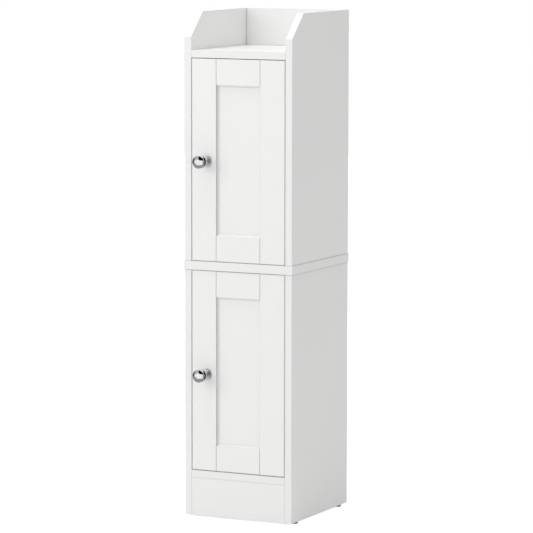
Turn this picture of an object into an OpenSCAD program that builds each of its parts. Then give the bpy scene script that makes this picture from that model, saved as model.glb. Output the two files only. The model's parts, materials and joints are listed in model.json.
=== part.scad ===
// Tall narrow storage cabinet: two stacked carcass halves on either side of a plank,
// each closed by an inset frame-and-panel door, with a small open gallery on top.
// Millimetres. The origin is on the floor, at the middle of the whole width and of the
// whole depth, from the knobs to the nail heads. The doors face -Y and +Z is up.

/* [Carcass] */
// Width across the outer faces of the side panels
cabinet_w = 240; // [225:5:320]
// Depth of the side panels
cabinet_d = 265; // [240:5:340]
// Thickness of the side, base, top, kick and gallery boards
board_t = 15; // [15:0.5:18]
// Thickness of the plank between the two halves
plank_t = 18; // [15:1:25]
// How far the plank stands proud of each side panel
plank_side_lip = 2; // [0:0.5:6]
// How far the plank stands proud of the front
plank_front_lip = 1.5; // [0:0.5:4]
// Height of the kick board
kick_h = 78; // [65:1:110]
// Thickness of the two back panels
back_t = 3; // [2.5:0.5:5]
// Width of the rabbet that each back panel lies in
back_lip = 8; // [6:0.5:10]

/* [Gallery] */
// Height of the side panels above the top board
gallery_h = 76; // [60:1:110]
// Height of the sloped front corner of each side panel
slope_h = 50; // [30:1:56]
// Depth of the sloped front corner of each side panel
slope_d = 52; // [30:1:80]

/* [Doors] */
// Height of each door
door_h = 407; // [340:1:480]
// Thickness of the door frames
door_t = 15; // [15:0.5:18]
// Gap on each side of a door
side_gap = 1.5; // [1.5:0.5:4]
// Gap between a door and the base or top board
outer_gap = 1.3; // [1:0.1:4]
// Gap between a door and the middle plank
plank_gap = 0.7; // [0.7:0.1:4]
// Width of a stile on its front face
stile_w = 54.5; // [48:0.5:64]
// Width of a rail on its front face
rail_w = 52; // [40:1:70]
// Depth of the square step at the inner edge of the frame
step_d = 2; // [1:0.5:3]
// Size of the bevel that runs from the step down to the panel
bevel = 3.5; // [2:0.5:4]
// Thickness of the centre panel
panel_t = 5; // [4:0.5:6]
// Depth of the groove that holds the centre panel
groove_d = 8; // [6:0.5:10]
// Width of the quirk, the narrow groove between a stile's step and its bevel
quirk_w = 1; // [0.6:0.1:1.4]
// Width of the eased edges round a door's front
edge_ease = 1; // [0.8:0.1:1.5]
// Distance from the door's upper and lower edges to its hinges' centres
hinge_inset = 71; // [50:1:110]

/* [Knobs] */
// Distance from the door's left edge to the knob
knob_in = 32; // [24:0.5:36]
// Height of the upper knob above its door's lower edge
upper_knob_up = 202; // [150:1:260]
// Height of the lower knob above its door's lower edge
lower_knob_up = 197; // [150:1:260]
// Radius of the knob's head
knob_r = 13; // [10:0.5:15]
// How far the knob stands out from the door
knob_l = 38; // [28:0.5:40]
// Radius of the rosette under the knob
rosette_r = 12.5; // [10:0.5:15]
// Thickness of the rosette
rosette_t = 4.5; // [4:0.5:6]

/* [Hinges] */
// Radius of the hinge cup's bore in the door
cup_r = 17.5; // [17.5:0.1:18]
// Wood left between the cup's bore and the door's edge
cup_edge = 5; // [4:0.5:6]
// Wood left between the cup's bore and the door's front
cup_floor = 3; // [2.5:0.1:3.2]
// Distance from the door's edge to the pivot
pivot_in = 10.5; // [10:0.1:11.5]
// Distance from the door's front to the pivot
pivot_back = 5.9; // [5.7:0.1:6]
// Radius of the hinge pin
pin_r = 1; // [0.8:0.05:1.1]
// Thickness of the hinge arm's steel
arm_t = 1.8; // [1.2:0.1:2]
// Distance from the door's back to the mounting plate's screws
plate_back = 37; // [35:1:45]

/* [Shelves] */
// Thickness of the adjustable shelves
shelf_t = 15; // [12:1:18]
// Distance between the shelf pin holes
pin_pitch = 32; // [25:1:40]
// Radius of a shelf pin
shelf_pin_r = 2.5; // [2:0.1:3]

/* [Floor glides] */
// Height of the glides that the cabinet stands on
foot_h = 4; // [3:0.5:8]
// Radius of a glide
foot_r = 7; // [5:0.5:7.5]
// Distance from the front and back edges to the glides
foot_in = 30; // [12:1:40]

/* [Hidden] */

$fn = 48;

// Colours
white_board = "#f3f3f1";
white_door = "#f6f6f4";
steel = "#b9bcc0";
chrome = "#d7d9dc";
timber = "#d9b98a";
grey_plastic = "#8d8f91";
white_plastic = "#ecece8";

// A cut runs this far past the face that it opens
over = 1;
// Clearance round pins, bolts, nails and screws in their holes
fit = 0.05;
// A hole runs this far past the end of what it holds
hole_end = 0.5;
// Height of the heads of the nails in the back panels
nail_head_t = 0.8;

// Carcass
half_w = cabinet_w / 2;
inner_x = half_w - board_t;
mid_x = half_w - board_t / 2;
front_y = (knob_l - cabinet_d - nail_head_t) / 2;
back_y = front_y + cabinet_d;
panel_y = back_y - back_t;
base_z = foot_h + kick_h;
lower_door_z = base_z + board_t + outer_gap;
plank_z = lower_door_z + door_h + plank_gap;
upper_side_z = plank_z + plank_t;
upper_door_z = upper_side_z + plank_gap;
top_z = upper_door_z + door_h + outer_gap;
full_h = top_z + board_t + gallery_h;
panel_play = 0.2;

// Doors
door_l = -inner_x + side_gap;
door_r = inner_x - side_gap;
door_back_y = front_y + door_t;
sight_l = door_l + stile_w;
sight_r = door_r - stile_w;
panel_set = 0.7;
quirk_floor = 2.6;
joint_v_w = 0.5;
joint_v_d = 1.4;
recess_d = step_d + bevel + panel_set;
groove_play = 0.15;
groove_w = panel_t + 2 * groove_play;
tongue_play = 0.4;
panel_fit = 0.5;
lower_knob_z = lower_door_z + lower_knob_up;
upper_knob_z = upper_door_z + upper_knob_up;
knob_x = door_l + knob_in;

// Screws shared by several pieces
screw_r = 1.6;
screw_head_r = 3.3;
screw_head_h = 1.8;
head_taper = 0.8;
slot_w = 0.7;
machine_screw_r = 2;
knob_screw_grip = 9;
knob_screw_head_r = 4;
knob_screw_head_h = 2.2;

// Hinges, with the pivot as the centre of the arm's outline
cup_x = door_r - cup_edge - cup_r;
cup_fit = 0.1;
cup_sheet = 0.6;
cup_wall = 0.9;
flange_t = 1.2;
flange_lip = 1.5;
flange_end = 6;
cup_screw_in = 9.5;
cup_screw_up = 22.5;
cup_screw_l = 9;
pivot_x = door_r - pivot_in;
pivot_y = front_y + pivot_back;
eye_r = 2;
pin_play = 0.06;
ear_in = 6.2;
ear_t = 1.8;
ear_w = 6;
ear_over_pin = 2.2;
ear_fit = 0.02;
corner_r = sqrt(pow(pivot_in, 2) + pow(door_t - pivot_back, 2));
arm_play = 2.2;
arm_w = 12;
arm_reach = door_t - pivot_back + flange_t + arm_play + arm_t / 2;
arm_clear = 3;
arm_turn_y = corner_r + arm_clear;
arm_cross = 7;
plate_t = 3.2;
wing_t = 2;
wing_w = 13;
wing_up = 24;
plate_w = 18;
plate_l = 44;
rail_h = 6.6;
rail_half = 6.8;
plate_y = door_back_y + plate_back;
plate_screw_up = 16;
plate_screw_l = 11;
rail_play = 0.1;
web_x = inner_x - plate_t - rail_h - rail_play - arm_t / 2;
channel_half = 8.5;
channel_wall = 1.4;
channel_play = 0.3;
arm_screw_in = 12;
arm_hole_fit = 0.2;
clamp_y = plate_y + arm_screw_in;
adjust_y = plate_y - arm_screw_in;
clamp_head_r = 3.6;
clamp_head_h = 2;
adjust_out = 1.2;

// Catches
catch_in = 25;
catch_x = door_l + catch_in;
catch_w = 38;
catch_d = 14;
catch_h = 12;
catch_gap = 0.5;
strike_t = 1.6;
strike_w = 34;
strike_h = 11;
strike_sink = 1;
magnet_w = 22;
magnet_h = 5;
magnet_d = 8;
magnet_out = 0.3;
catch_y = door_back_y + strike_t + catch_gap;
catch_screw_x = 15;
catch_screw_l = 19;

// Cams, bolts and dowels. A joint's own frame has its origin at the middle of the
// board's end, +X into the other board, and the cam's pocket opening towards -Z.
fix_front_in = 62;
fix_back_in = 45;
fix_ys = [front_y + fix_front_in, back_y - fix_back_in];
dowel_front_in = 30;
dowel_back_in = 77;
dowel_ys = [front_y + dowel_front_in, back_y - dowel_back_in];
cam_off = 24;
cam_r = 7.5;
cam_past = 4.3;
cam_h = board_t / 2 + cam_past;
cam_fit = 0.1;
cam_slot_l = 8;
cam_slot_w = 1.6;
cam_slot_d = 2;
bolt_in = 10;
bolt_thread_r = 2.5;
bolt_shaft_r = 3;
bolt_neck_r = 2;
bolt_neck_l = 3;
bolt_head_r = 3.3;
bolt_head_l = 3;
bolt_hole_r = 4;
plank_hole_fit = 0.2;
cam_hollow_r = 4.6;
cam_hollow_h = 8;
dowel_r = 4;
dowel_in = 10;
dowel_board = 20;
dowel_plank = 12;
kick_y = front_y + board_t / 2;
kick_bolt_up = 48;
kick_dowel_up = 20;
kick_bolt_z = foot_h + kick_bolt_up;
kick_dowel_z = foot_h + kick_dowel_up;
gallery_y = panel_y - board_t / 2;
gallery_bolt_up = 47;
gallery_dowel_up = 19;
gallery_bolt_z = top_z + board_t + gallery_bolt_up;
gallery_dowel_z = top_z + board_t + gallery_dowel_up;

// Shelves
shelf_side_gap = 1.6;
shelf_front_in = 24;
shelf_front_y = front_y + shelf_front_in;
shelf_back_gap = 1;
pin_in = 8;
pin_out = 8;
pin_flange_r = 4;
pin_flange_t = 1.2;
pin_front_in = 50;
pin_back_in = 35;
pin_ys = [front_y + pin_front_in, back_y - pin_back_in];
pin_rows = [-2, -1, 0, 1, 2];
lower_pin_z = (base_z + board_t + plank_z) / 2 - shelf_t / 2 - shelf_pin_r;
upper_pin_z = (upper_side_z + top_z) / 2 - shelf_t / 2 - shelf_pin_r;

// Back nails and glide nails
nail_r = 0.7;
nail_l = 14;
nail_head_r = 2;
nail_x = inner_x + back_lip / 2;
nail_edge_x = 60;
nail_end = 30;
nail_top = 8;
lower_nail_zs = nail_heights(base_z + nail_end, plank_z - nail_end);
upper_nail_zs = concat(nail_heights(upper_side_z + nail_end, top_z - nail_end), [full_h - nail_top]);
foot_nail_r = 1.1;
foot_nail_l = 14;
foot_round = 1.6;

// Outlines of the knob and its rosette
neck_r = 4.5;
neck_foot_r = 6.1;
neck_foot_h = 3.5;
flare_r = 7;
flare_drop = 1;
head_t = 14;
head_round = 0.9;
waist_turn = 70;
waist_steps = 8;
face_r = 30;
rosette_lip_t = 1.8;
rosette_lip_round = 1.5;
rosette_groove_d = 0.5;
rosette_groove_w = 0.8;
rosette_lip_w = 2.6;
rosette_round = 2.6;

// Four heights, evenly spaced
function nail_heights(low, high) = [for (i = [0:3]) low + i * (high - low) / 3];

// Points along an arc, from one angle to another
function arc(cx, cy, r, from, to, steps = 8) =
    [for (i = [0:steps]) let (a = from + (to - from) * i / steps)
        [cx + r * cos(a), cy + r * sin(a)]];

// Places

// Draws its children at both ends of the cabinet's width
module both_ends() {
    children();
    mirror([1, 0, 0]) children();
}

// Ends of a level board whose middle lies at height z
module at_board_end(z, ys) {
    for (y = ys) translate([inner_x, y, z]) children();
}

// Ends of an upright board whose middle lies at depth y
module at_upright_end(y, z) {
    translate([inner_x, y, z]) rotate([90, 0, 0]) children();
}

// Upper ends of the lower side panels
module at_plank_underside(ys) {
    for (y = ys) translate([mid_x, y, plank_z])
        rotate([0, -90, 0]) rotate([180, 0, 0]) children();
}

// Lower ends of the upper side panels
module at_plank_top(ys) {
    for (y = ys) translate([mid_x, y, upper_side_z]) rotate([0, 90, 0]) children();
}

// Joints that the lower side panels share with the boards between them
module at_lower_bolts() {
    at_board_end(base_z + board_t / 2, fix_ys) children();
    at_upright_end(kick_y, kick_bolt_z) children();
}

module at_lower_dowels() {
    at_board_end(base_z + board_t / 2, dowel_ys) children();
    at_upright_end(kick_y, kick_dowel_z) children();
}

// Joints that the upper side panels share with the boards between them
module at_upper_bolts() {
    at_board_end(top_z + board_t / 2, fix_ys) children();
    at_upright_end(gallery_y, gallery_bolt_z) children();
}

module at_upper_dowels() {
    at_board_end(top_z + board_t / 2, dowel_ys) children();
    at_upright_end(gallery_y, gallery_dowel_z) children();
}

// Hinge centres of a door whose lower edge is at z0, on the line of the pivots
module at_hinges(z0) {
    for (z = [z0 + hinge_inset, z0 + door_h - hinge_inset])
        translate([pivot_x, pivot_y, z]) children();
}

// Screws that hold the mounting plates, +Z pointing into the side panel
module at_plate_screws(z0) {
    for (z = [z0 + hinge_inset, z0 + door_h - hinge_inset], s = [-1, 1])
        translate([inner_x, plate_y, z + s * plate_screw_up]) rotate([0, 90, 0]) children();
}

// Screws that hold the hinge cups, +Z pointing towards the door's front
module at_cup_screws(z0) {
    for (z = [z0 + hinge_inset, z0 + door_h - hinge_inset], s = [-1, 1])
        translate([cup_x - cup_screw_in, door_back_y, z + s * cup_screw_up])
            rotate([90, 0, 0]) children();
}

// Screws of the catch under a board whose underside is at z, +Z pointing up
module at_catch_screws(z) {
    for (s = [-1, 1])
        translate([catch_x + s * catch_screw_x, catch_y + catch_d / 2, z]) children();
}

// Nails round a back panel, +Z pointing towards the front
module at_side_nails(zs) {
    both_ends() for (z = zs) translate([nail_x, back_y, z]) rotate([90, 0, 0]) children();
}

module at_edge_nails(z) {
    both_ends() translate([nail_edge_x, back_y, z]) rotate([90, 0, 0]) children();
}

module at_feet() {
    for (y = [front_y + foot_in, back_y - foot_in]) translate([mid_x, y, foot_h]) children();
}

module at_shelf_pins(z) {
    for (y = pin_ys) translate([inner_x, y, z]) rotate([0, 90, 0]) children();
}

// Holes

module mate_bolt_hole() {
    rotate([0, 90, 0]) translate([0, 0, -over])
        cylinder(r = bolt_thread_r + fit, h = bolt_in + over + hole_end);
}

module mate_dowel_hole() {
    rotate([0, 90, 0]) translate([0, 0, -over])
        cylinder(r = dowel_r + fit, h = dowel_in + over + hole_end);
}

module cam_pocket() {
    translate([-cam_off, 0, -board_t / 2 - over])
        cylinder(r = cam_r + cam_fit, h = cam_h + over + 2 * cam_fit);
    rotate([0, 90, 0]) translate([0, 0, -cam_off]) cylinder(r = bolt_hole_r, h = cam_off + over);
}

module board_dowel_hole(depth) {
    rotate([0, 90, 0]) translate([0, 0, -depth - hole_end])
        cylinder(r = dowel_r + fit, h = depth + over + hole_end);
}

module screw_hole(r, depth) {
    translate([0, 0, -over]) cylinder(r = r + fit, h = depth + over + hole_end);
}

// Fasteners

// Pan-head screw, its shank along +Z and its head seated at z = 0
module pan_screw(r, l, head_r = screw_head_r, head_h = screw_head_h) {
    cylinder(r = r, h = l);
    difference() {
        translate([0, 0, -head_h]) cylinder(r1 = head_r - head_taper, r2 = head_r, h = head_h);
        for (a = [0, 90]) rotate(a)
            translate([-head_r / 2, -slot_w / 2, -head_h - over])
                cube([head_r, slot_w, over + head_h / 2]);
    }
}

// Cam with its hooked hollow and cross slot, in the joint's frame
module cam_lock() {
    translate([-cam_off, 0, -board_t / 2]) difference() {
        cylinder(r = cam_r, h = cam_h);
        translate([0, 0, board_t / 2 - cam_hollow_h / 2]) cylinder(r = cam_hollow_r, h = cam_hollow_h);
        translate([0, -bolt_hole_r, board_t / 2 - cam_hollow_h / 2])
            cube([cam_r + over, 2 * bolt_hole_r, cam_hollow_h]);
        for (a = [0, 90]) rotate(a) translate([-cam_slot_l / 2, -cam_slot_w / 2, -over])
            cube([cam_slot_l, cam_slot_w, over + cam_slot_d]);
    }
}

// Head, neck and shaft of a bolt that lies along X and ends at x = 0
module bolt_shaft() {
    rotate([0, 90, 0]) {
        translate([0, 0, -cam_off - bolt_head_l / 2]) cylinder(r = bolt_head_r, h = bolt_head_l);
        translate([0, 0, -cam_off]) cylinder(r = bolt_neck_r, h = cam_off);
        translate([0, 0, -cam_off + bolt_head_l / 2 + bolt_neck_l])
            cylinder(r = bolt_shaft_r, h = cam_off - bolt_head_l / 2 - bolt_neck_l);
    }
}

module cam_bolt() {
    bolt_shaft();
    rotate([0, 90, 0]) cylinder(r = bolt_thread_r, h = bolt_in);
}

// Dowel along X, so far into the board behind it and so far past its end
module dowel(behind, past) {
    rotate([0, 90, 0]) translate([0, 0, -behind]) cylinder(r = dowel_r, h = behind + past);
}

// Carcass boards

// Board between two corners
module board(from, to) {
    translate(from) cube(to - from);
}

// Right-hand side panel from its outline in depth and height, with the rabbet for the back
module side_blank(outline, z0, z1) {
    difference() {
        translate([inner_x, 0, 0]) rotate([90, 0, 90]) linear_extrude(board_t) polygon(outline);
        translate([inner_x - over, panel_y, z0 - over])
            cube([back_lip + over, back_t + over, z1 - z0 + 2 * over]);
    }
}

module shelf_pin_holes(mid_z) {
    for (row = pin_rows) at_shelf_pins(mid_z + row * pin_pitch)
        screw_hole(shelf_pin_r, pin_in);
}

// Lower side panel, drawn as the right-hand one
module lower_side(hinged) {
    outline = [[front_y, foot_h], [back_y, foot_h], [back_y, plank_z], [front_y, plank_z]];
    difference() {
        side_blank(outline, foot_h, plank_z);
        at_lower_bolts() mate_bolt_hole();
        at_lower_dowels() mate_dowel_hole();
        at_plank_underside(fix_ys) cam_pocket();
        at_plank_underside(dowel_ys) board_dowel_hole(dowel_plank);
        at_feet() screw_hole(foot_nail_r, foot_nail_l);
        shelf_pin_holes(lower_pin_z);
        at_side_nails(lower_nail_zs) screw_hole(nail_r, nail_l);
        if (hinged) at_plate_screws(lower_door_z) screw_hole(screw_r, plate_screw_l);
    }
}

// Upper side panel, drawn as the right-hand one, with its sloped front corner
module upper_side(hinged) {
    outline = [
        [front_y, upper_side_z], [back_y, upper_side_z], [back_y, full_h],
        [front_y + slope_d, full_h], [front_y, full_h - slope_h]
    ];
    difference() {
        side_blank(outline, upper_side_z, full_h);
        at_upper_bolts() mate_bolt_hole();
        at_upper_dowels() mate_dowel_hole();
        at_plank_top(fix_ys) cam_pocket();
        at_plank_top(dowel_ys) board_dowel_hole(dowel_plank);
        shelf_pin_holes(upper_pin_z);
        at_side_nails(upper_nail_zs) screw_hole(nail_r, nail_l);
        if (hinged) at_plate_screws(upper_door_z) screw_hole(screw_r, plate_screw_l);
    }
}

module lower_left_side() color(white_board) mirror([1, 0, 0]) lower_side(false);
module lower_right_side() color(white_board) lower_side(true);
module upper_left_side() color(white_board) mirror([1, 0, 0]) upper_side(false);
module upper_right_side() color(white_board) upper_side(true);

module base_board() color(white_board) difference() {
    board([-inner_x, front_y, base_z], [inner_x, panel_y, base_z + board_t]);
    both_ends() at_board_end(base_z + board_t / 2, fix_ys) cam_pocket();
    both_ends() at_board_end(base_z + board_t / 2, dowel_ys) board_dowel_hole(dowel_board);
    at_edge_nails(base_z + board_t / 2) screw_hole(nail_r, nail_l);
}

module kick_board() color(white_board) difference() {
    board([-inner_x, front_y, foot_h], [inner_x, front_y + board_t, base_z]);
    both_ends() at_upright_end(kick_y, kick_bolt_z) cam_pocket();
    both_ends() at_upright_end(kick_y, kick_dowel_z) board_dowel_hole(dowel_board);
}

module middle_plank() color(white_board) difference() {
    board([-half_w - plank_side_lip, front_y - plank_front_lip, plank_z],
        [half_w + plank_side_lip, back_y, upper_side_z]);
    both_ends() for (y = fix_ys) translate([mid_x, y, plank_z - over])
        cylinder(r = bolt_shaft_r + plank_hole_fit, h = plank_t + 2 * over);
    both_ends() for (y = dowel_ys) translate([mid_x, y, plank_z - over])
        cylinder(r = dowel_r + fit, h = plank_t + 2 * over);
    at_catch_screws(plank_z) screw_hole(screw_r, catch_screw_l - catch_h);
}

module top_board() color(white_board) difference() {
    board([-inner_x, front_y, top_z], [inner_x, panel_y, top_z + board_t]);
    both_ends() at_board_end(top_z + board_t / 2, fix_ys) cam_pocket();
    both_ends() at_board_end(top_z + board_t / 2, dowel_ys) board_dowel_hole(dowel_board);
    at_edge_nails(top_z + board_t / 2) screw_hole(nail_r, nail_l);
    at_catch_screws(top_z) screw_hole(screw_r, catch_screw_l - catch_h);
}

module gallery_back() color(white_board) difference() {
    board([-inner_x, panel_y - board_t, top_z + board_t], [inner_x, panel_y, full_h]);
    both_ends() at_upright_end(gallery_y, gallery_bolt_z) cam_pocket();
    both_ends() at_upright_end(gallery_y, gallery_dowel_z) board_dowel_hole(dowel_board);
}

// Thin back panel in the side panels' rabbets
module back_panel(z0, z1, nail_zs, edge_z) {
    difference() {
        board([-inner_x - back_lip + panel_play, panel_y, z0],
            [inner_x + back_lip - panel_play, back_y, z1]);
        at_side_nails(nail_zs) screw_hole(nail_r, back_t + over);
        at_edge_nails(edge_z) screw_hole(nail_r, back_t + over);
    }
}

module lower_back_panel() color(white_board)
    back_panel(base_z, plank_z, lower_nail_zs, base_z + board_t / 2);

module upper_back_panel() color(white_board)
    back_panel(upper_side_z, full_h, upper_nail_zs, top_z + board_t / 2);

module shelf(pin_z) {
    board([-inner_x + shelf_side_gap, shelf_front_y, pin_z + shelf_pin_r],
        [inner_x - shelf_side_gap, panel_y - shelf_back_gap, pin_z + shelf_pin_r + shelf_t]);
}

module lower_shelf() color(white_board) shelf(lower_pin_z);
module upper_shelf() color(white_board) shelf(upper_pin_z);

// Carcass hardware

module shelf_pin() {
    translate([0, 0, -pin_out]) cylinder(r = shelf_pin_r, h = pin_out + pin_in);
    translate([0, 0, -pin_flange_t]) cylinder(r = pin_flange_r, h = pin_flange_t);
}

module shelf_pins() color(steel) both_ends()
    for (z = [lower_pin_z, upper_pin_z]) at_shelf_pins(z) shelf_pin();

// Nail-on glide with a rounded foot
module floor_glide() {
    profile = concat([[0, -foot_h]],
        arc(foot_r - foot_round, -foot_h + foot_round, foot_round, -90, 0, 6),
        [[foot_r, 0], [foot_nail_r, 0], [foot_nail_r, foot_nail_l], [0, foot_nail_l]]);
    rotate_extrude() polygon(profile);
}

module floor_glides() color(grey_plastic) both_ends() at_feet() floor_glide();

module cam_locks() color(steel) both_ends() {
    at_lower_bolts() cam_lock();
    at_upper_bolts() cam_lock();
    at_plank_underside(fix_ys) cam_lock();
    at_plank_top(fix_ys) cam_lock();
}

module cam_bolts() color(steel) both_ends() {
    at_lower_bolts() cam_bolt();
    at_upper_bolts() cam_bolt();
}

// Bolts with a head at each end, which run through the plank
module plank_bolts() color(steel) both_ends() {
    at_plank_underside(fix_ys) bolt_shaft();
    at_plank_top(fix_ys) bolt_shaft();
    at_plank_underside(fix_ys) rotate([0, 90, 0]) cylinder(r = bolt_shaft_r, h = plank_t);
}

module dowels() color(timber) both_ends() {
    at_lower_dowels() dowel(dowel_board, dowel_in);
    at_upper_dowels() dowel(dowel_board, dowel_in);
    at_plank_underside(dowel_ys) dowel(dowel_plank, plank_t + dowel_plank);
}

module back_nail() {
    cylinder(r = nail_r, h = nail_l);
    translate([0, 0, -nail_head_t]) cylinder(r = nail_head_r, h = nail_head_t);
}

module back_nails() color(steel) {
    at_side_nails(lower_nail_zs) back_nail();
    at_side_nails(upper_nail_zs) back_nail();
    at_edge_nails(base_z + board_t / 2) back_nail();
    at_edge_nails(top_z + board_t / 2) back_nail();
}

// Hinge hardware

// Plate on the side panel with a rail that the arm slides over
module hinge_plate() {
    difference() {
        union() {
            translate([inner_x - wing_t, plate_y - wing_w / 2, -wing_up])
                cube([wing_t, wing_w, 2 * wing_up]);
            translate([inner_x - plate_t, plate_y - plate_l / 2, -plate_w / 2])
                cube([plate_t, plate_l, plate_w]);
            translate([inner_x - plate_t - rail_h, plate_y - plate_l / 2, -rail_half])
                cube([rail_h + over, plate_l, 2 * rail_half]);
        }
        for (s = [-1, 1]) translate([inner_x - wing_t, plate_y, s * plate_screw_up])
            rotate([0, 90, 0]) screw_hole(screw_r, wing_t + over);
        translate([inner_x - plate_t - rail_h, clamp_y, 0]) rotate([0, 90, 0])
            screw_hole(machine_screw_r, rail_h);
    }
}

module hinge_plates(z0) {
    for (z = [z0 + hinge_inset, z0 + door_h - hinge_inset]) translate([0, 0, z]) hinge_plate();
}

// Bent strip of the arm's thickness through a list of points
module strip(points) {
    for (i = [0:len(points) - 2]) {
        run = points[i + 1] - points[i];
        translate(points[i]) rotate(atan2(run[1], run[0]))
            translate([0, -arm_t / 2]) square([norm(run), arm_t]);
    }
    for (p = points) translate(p) circle(r = arm_t / 2, $fn = 24);
}

// Arm that hooks round the open door's edge, drawn about the pivot
module hinge_arm() {
    web_in = web_x - pivot_x;
    web_from = arm_turn_y + arm_cross;
    web_to = plate_y + plate_l / 2 - pivot_y;
    wall_l = inner_x - plate_t - channel_play - web_x;
    translate([0, 0, -arm_w / 2]) linear_extrude(arm_w) difference() {
        union() {
            strip([[0, 0], [-arm_reach, 0], [-arm_reach, arm_turn_y], [web_in, web_from],
                [web_in, web_to - arm_t]]);
            circle(r = eye_r);
        }
        circle(r = pin_r + pin_play);
    }
    difference() {
        translate([web_in - arm_t / 2, web_from, -channel_half])
            cube([arm_t / 2 + wall_l, web_to - web_from, 2 * channel_half]);
        translate([web_in + arm_t / 2, web_from - over, -channel_half + channel_wall])
            cube([wall_l, web_to - web_from + 2 * over, 2 * (channel_half - channel_wall)]);
    }
}

module hinge_arms(z0) {
    difference() {
        at_hinges(z0) hinge_arm();
        for (z = [z0 + hinge_inset, z0 + door_h - hinge_inset]) {
            translate([web_x - arm_t, clamp_y, z]) rotate([0, 90, 0])
                cylinder(r = machine_screw_r + arm_hole_fit, h = 2 * arm_t);
            translate([web_x - arm_t, adjust_y, z]) rotate([0, 90, 0])
                cylinder(r = machine_screw_r + fit, h = 2 * arm_t);
        }
    }
}

// Pressed cup about its bore's axis, z = 0 on the door's back and +Z out of the cup
module hinge_cup() {
    depth = door_t - cup_floor - cup_fit;
    ear_top = ear_over_pin - (door_t - pivot_back);
    shell_r = cup_r - cup_fit;
    pin_in_cup = pivot_x - cup_x;
    difference() {
        union() {
            translate([0, 0, -depth]) cylinder(r = shell_r, h = depth);
            cylinder(r = cup_r + flange_lip, h = flange_t);
            translate([-cup_screw_in - flange_end, -cup_screw_up - flange_end, 0])
                cube([2 * flange_end, 2 * (cup_screw_up + flange_end), flange_t]);
        }
        translate([0, 0, -depth + cup_sheet])
            cylinder(r = shell_r - cup_wall, h = depth + flange_t + over);
        for (s = [-1, 1]) translate([-cup_screw_in, s * cup_screw_up, 0])
            screw_hole(screw_r, flange_t + over);
    }
    difference() {
        for (s = [-1, 1])
            translate([pin_in_cup - ear_w / 2, s > 0 ? ear_in : -ear_in - ear_t, -depth + cup_sheet / 2])
                cube([ear_w, ear_t, depth - cup_sheet / 2 + ear_top]);
        translate([pin_in_cup, -ear_in - ear_t - over, -(door_t - pivot_back)])
            rotate([-90, 0, 0]) cylinder(r = pin_r + ear_fit, h = 2 * (ear_in + ear_t + over));
    }
}

module hinge_cups(z0) {
    for (z = [z0 + hinge_inset, z0 + door_h - hinge_inset])
        translate([cup_x, door_back_y, z]) rotate([-90, 0, 0]) hinge_cup();
}

module hinge_pins(z0) {
    at_hinges(z0) translate([0, 0, -ear_in - ear_t]) cylinder(r = pin_r, h = 2 * (ear_in + ear_t));
}

module lower_hinge_plates() color(steel) hinge_plates(lower_door_z);
module upper_hinge_plates() color(steel) hinge_plates(upper_door_z);
module lower_hinge_arms() color(steel) hinge_arms(lower_door_z);
module upper_hinge_arms() color(steel) hinge_arms(upper_door_z);

module plate_screws() color(steel) for (z0 = [lower_door_z, upper_door_z])
    at_plate_screws(z0) translate([0, 0, -wing_t]) pan_screw(screw_r, wing_t + plate_screw_l);

// Clamping screw on the arm and depth screw in it
module arm_screws() color(steel)
    for (z0 = [lower_door_z, upper_door_z], z = [z0 + hinge_inset, z0 + door_h - hinge_inset]) {
        translate([web_x - arm_t / 2, clamp_y, z]) rotate([0, 90, 0])
            pan_screw(machine_screw_r, arm_t + rail_h - hole_end, clamp_head_r, clamp_head_h);
        translate([web_x - arm_t / 2 - adjust_out, adjust_y, z]) rotate([0, 90, 0])
            cylinder(r = machine_screw_r, h = arm_t + adjust_out);
    }

// Catches

module door_catch(z) {
    difference() {
        board([catch_x - catch_w / 2, catch_y, z - catch_h],
            [catch_x + catch_w / 2, catch_y + catch_d, z]);
        board([catch_x - magnet_w / 2 - fit, catch_y - over, z - catch_h / 2 - magnet_h / 2 - fit],
            [catch_x + magnet_w / 2 + fit, catch_y + magnet_d, z - catch_h / 2 + magnet_h / 2 + fit]);
        at_catch_screws(z - catch_h) screw_hole(screw_r, catch_h + over);
    }
}

module door_catches() color(white_plastic) {
    door_catch(plank_z);
    door_catch(top_z);
}

module catch_magnets() color(grey_plastic) for (z = [plank_z, top_z])
    board([catch_x - magnet_w / 2, catch_y - magnet_out, z - catch_h / 2 - magnet_h / 2],
        [catch_x + magnet_w / 2, catch_y + magnet_d, z - catch_h / 2 + magnet_h / 2]);

module catch_screws() color(steel) for (z = [plank_z, top_z])
    at_catch_screws(z - catch_h) pan_screw(screw_r, catch_screw_l);

// Doors. Each piece takes the height of its door's lower edge.

// Stile in plan: eased outer edge, half of the joint's V, step, quirk, bevel and groove
module stile_plan() {
    polygon([
        [0, edge_ease], [edge_ease, 0], [stile_w - joint_v_w, 0], [stile_w, joint_v_d],
        [stile_w, step_d + quirk_floor], [stile_w + quirk_w, step_d + quirk_floor],
        [stile_w + quirk_w, step_d + quirk_w],
        [stile_w + bevel, step_d + bevel], [stile_w + bevel, recess_d],
        [stile_w + bevel - groove_d, recess_d], [stile_w + bevel - groove_d, recess_d + groove_w],
        [stile_w + bevel, recess_d + groove_w], [stile_w + bevel, door_t], [0, door_t]
    ]);
}

// Front edges at the upper and lower end of a door, in depth and height
module door_side_view(z0) {
    polygon([
        [front_y + edge_ease, z0], [front_y, z0 + edge_ease],
        [front_y, z0 + door_h - edge_ease], [front_y + edge_ease, z0 + door_h],
        [door_back_y, z0 + door_h], [door_back_y, z0]
    ]);
}

// Left-hand stile blank
module stile(z0) {
    intersection() {
        translate([door_l, front_y, z0]) linear_extrude(door_h) stile_plan();
        translate([door_l - over, 0, 0]) rotate([90, 0, 90])
            linear_extrude(stile_w + bevel + 2 * over) door_side_view(z0);
    }
}

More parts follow.
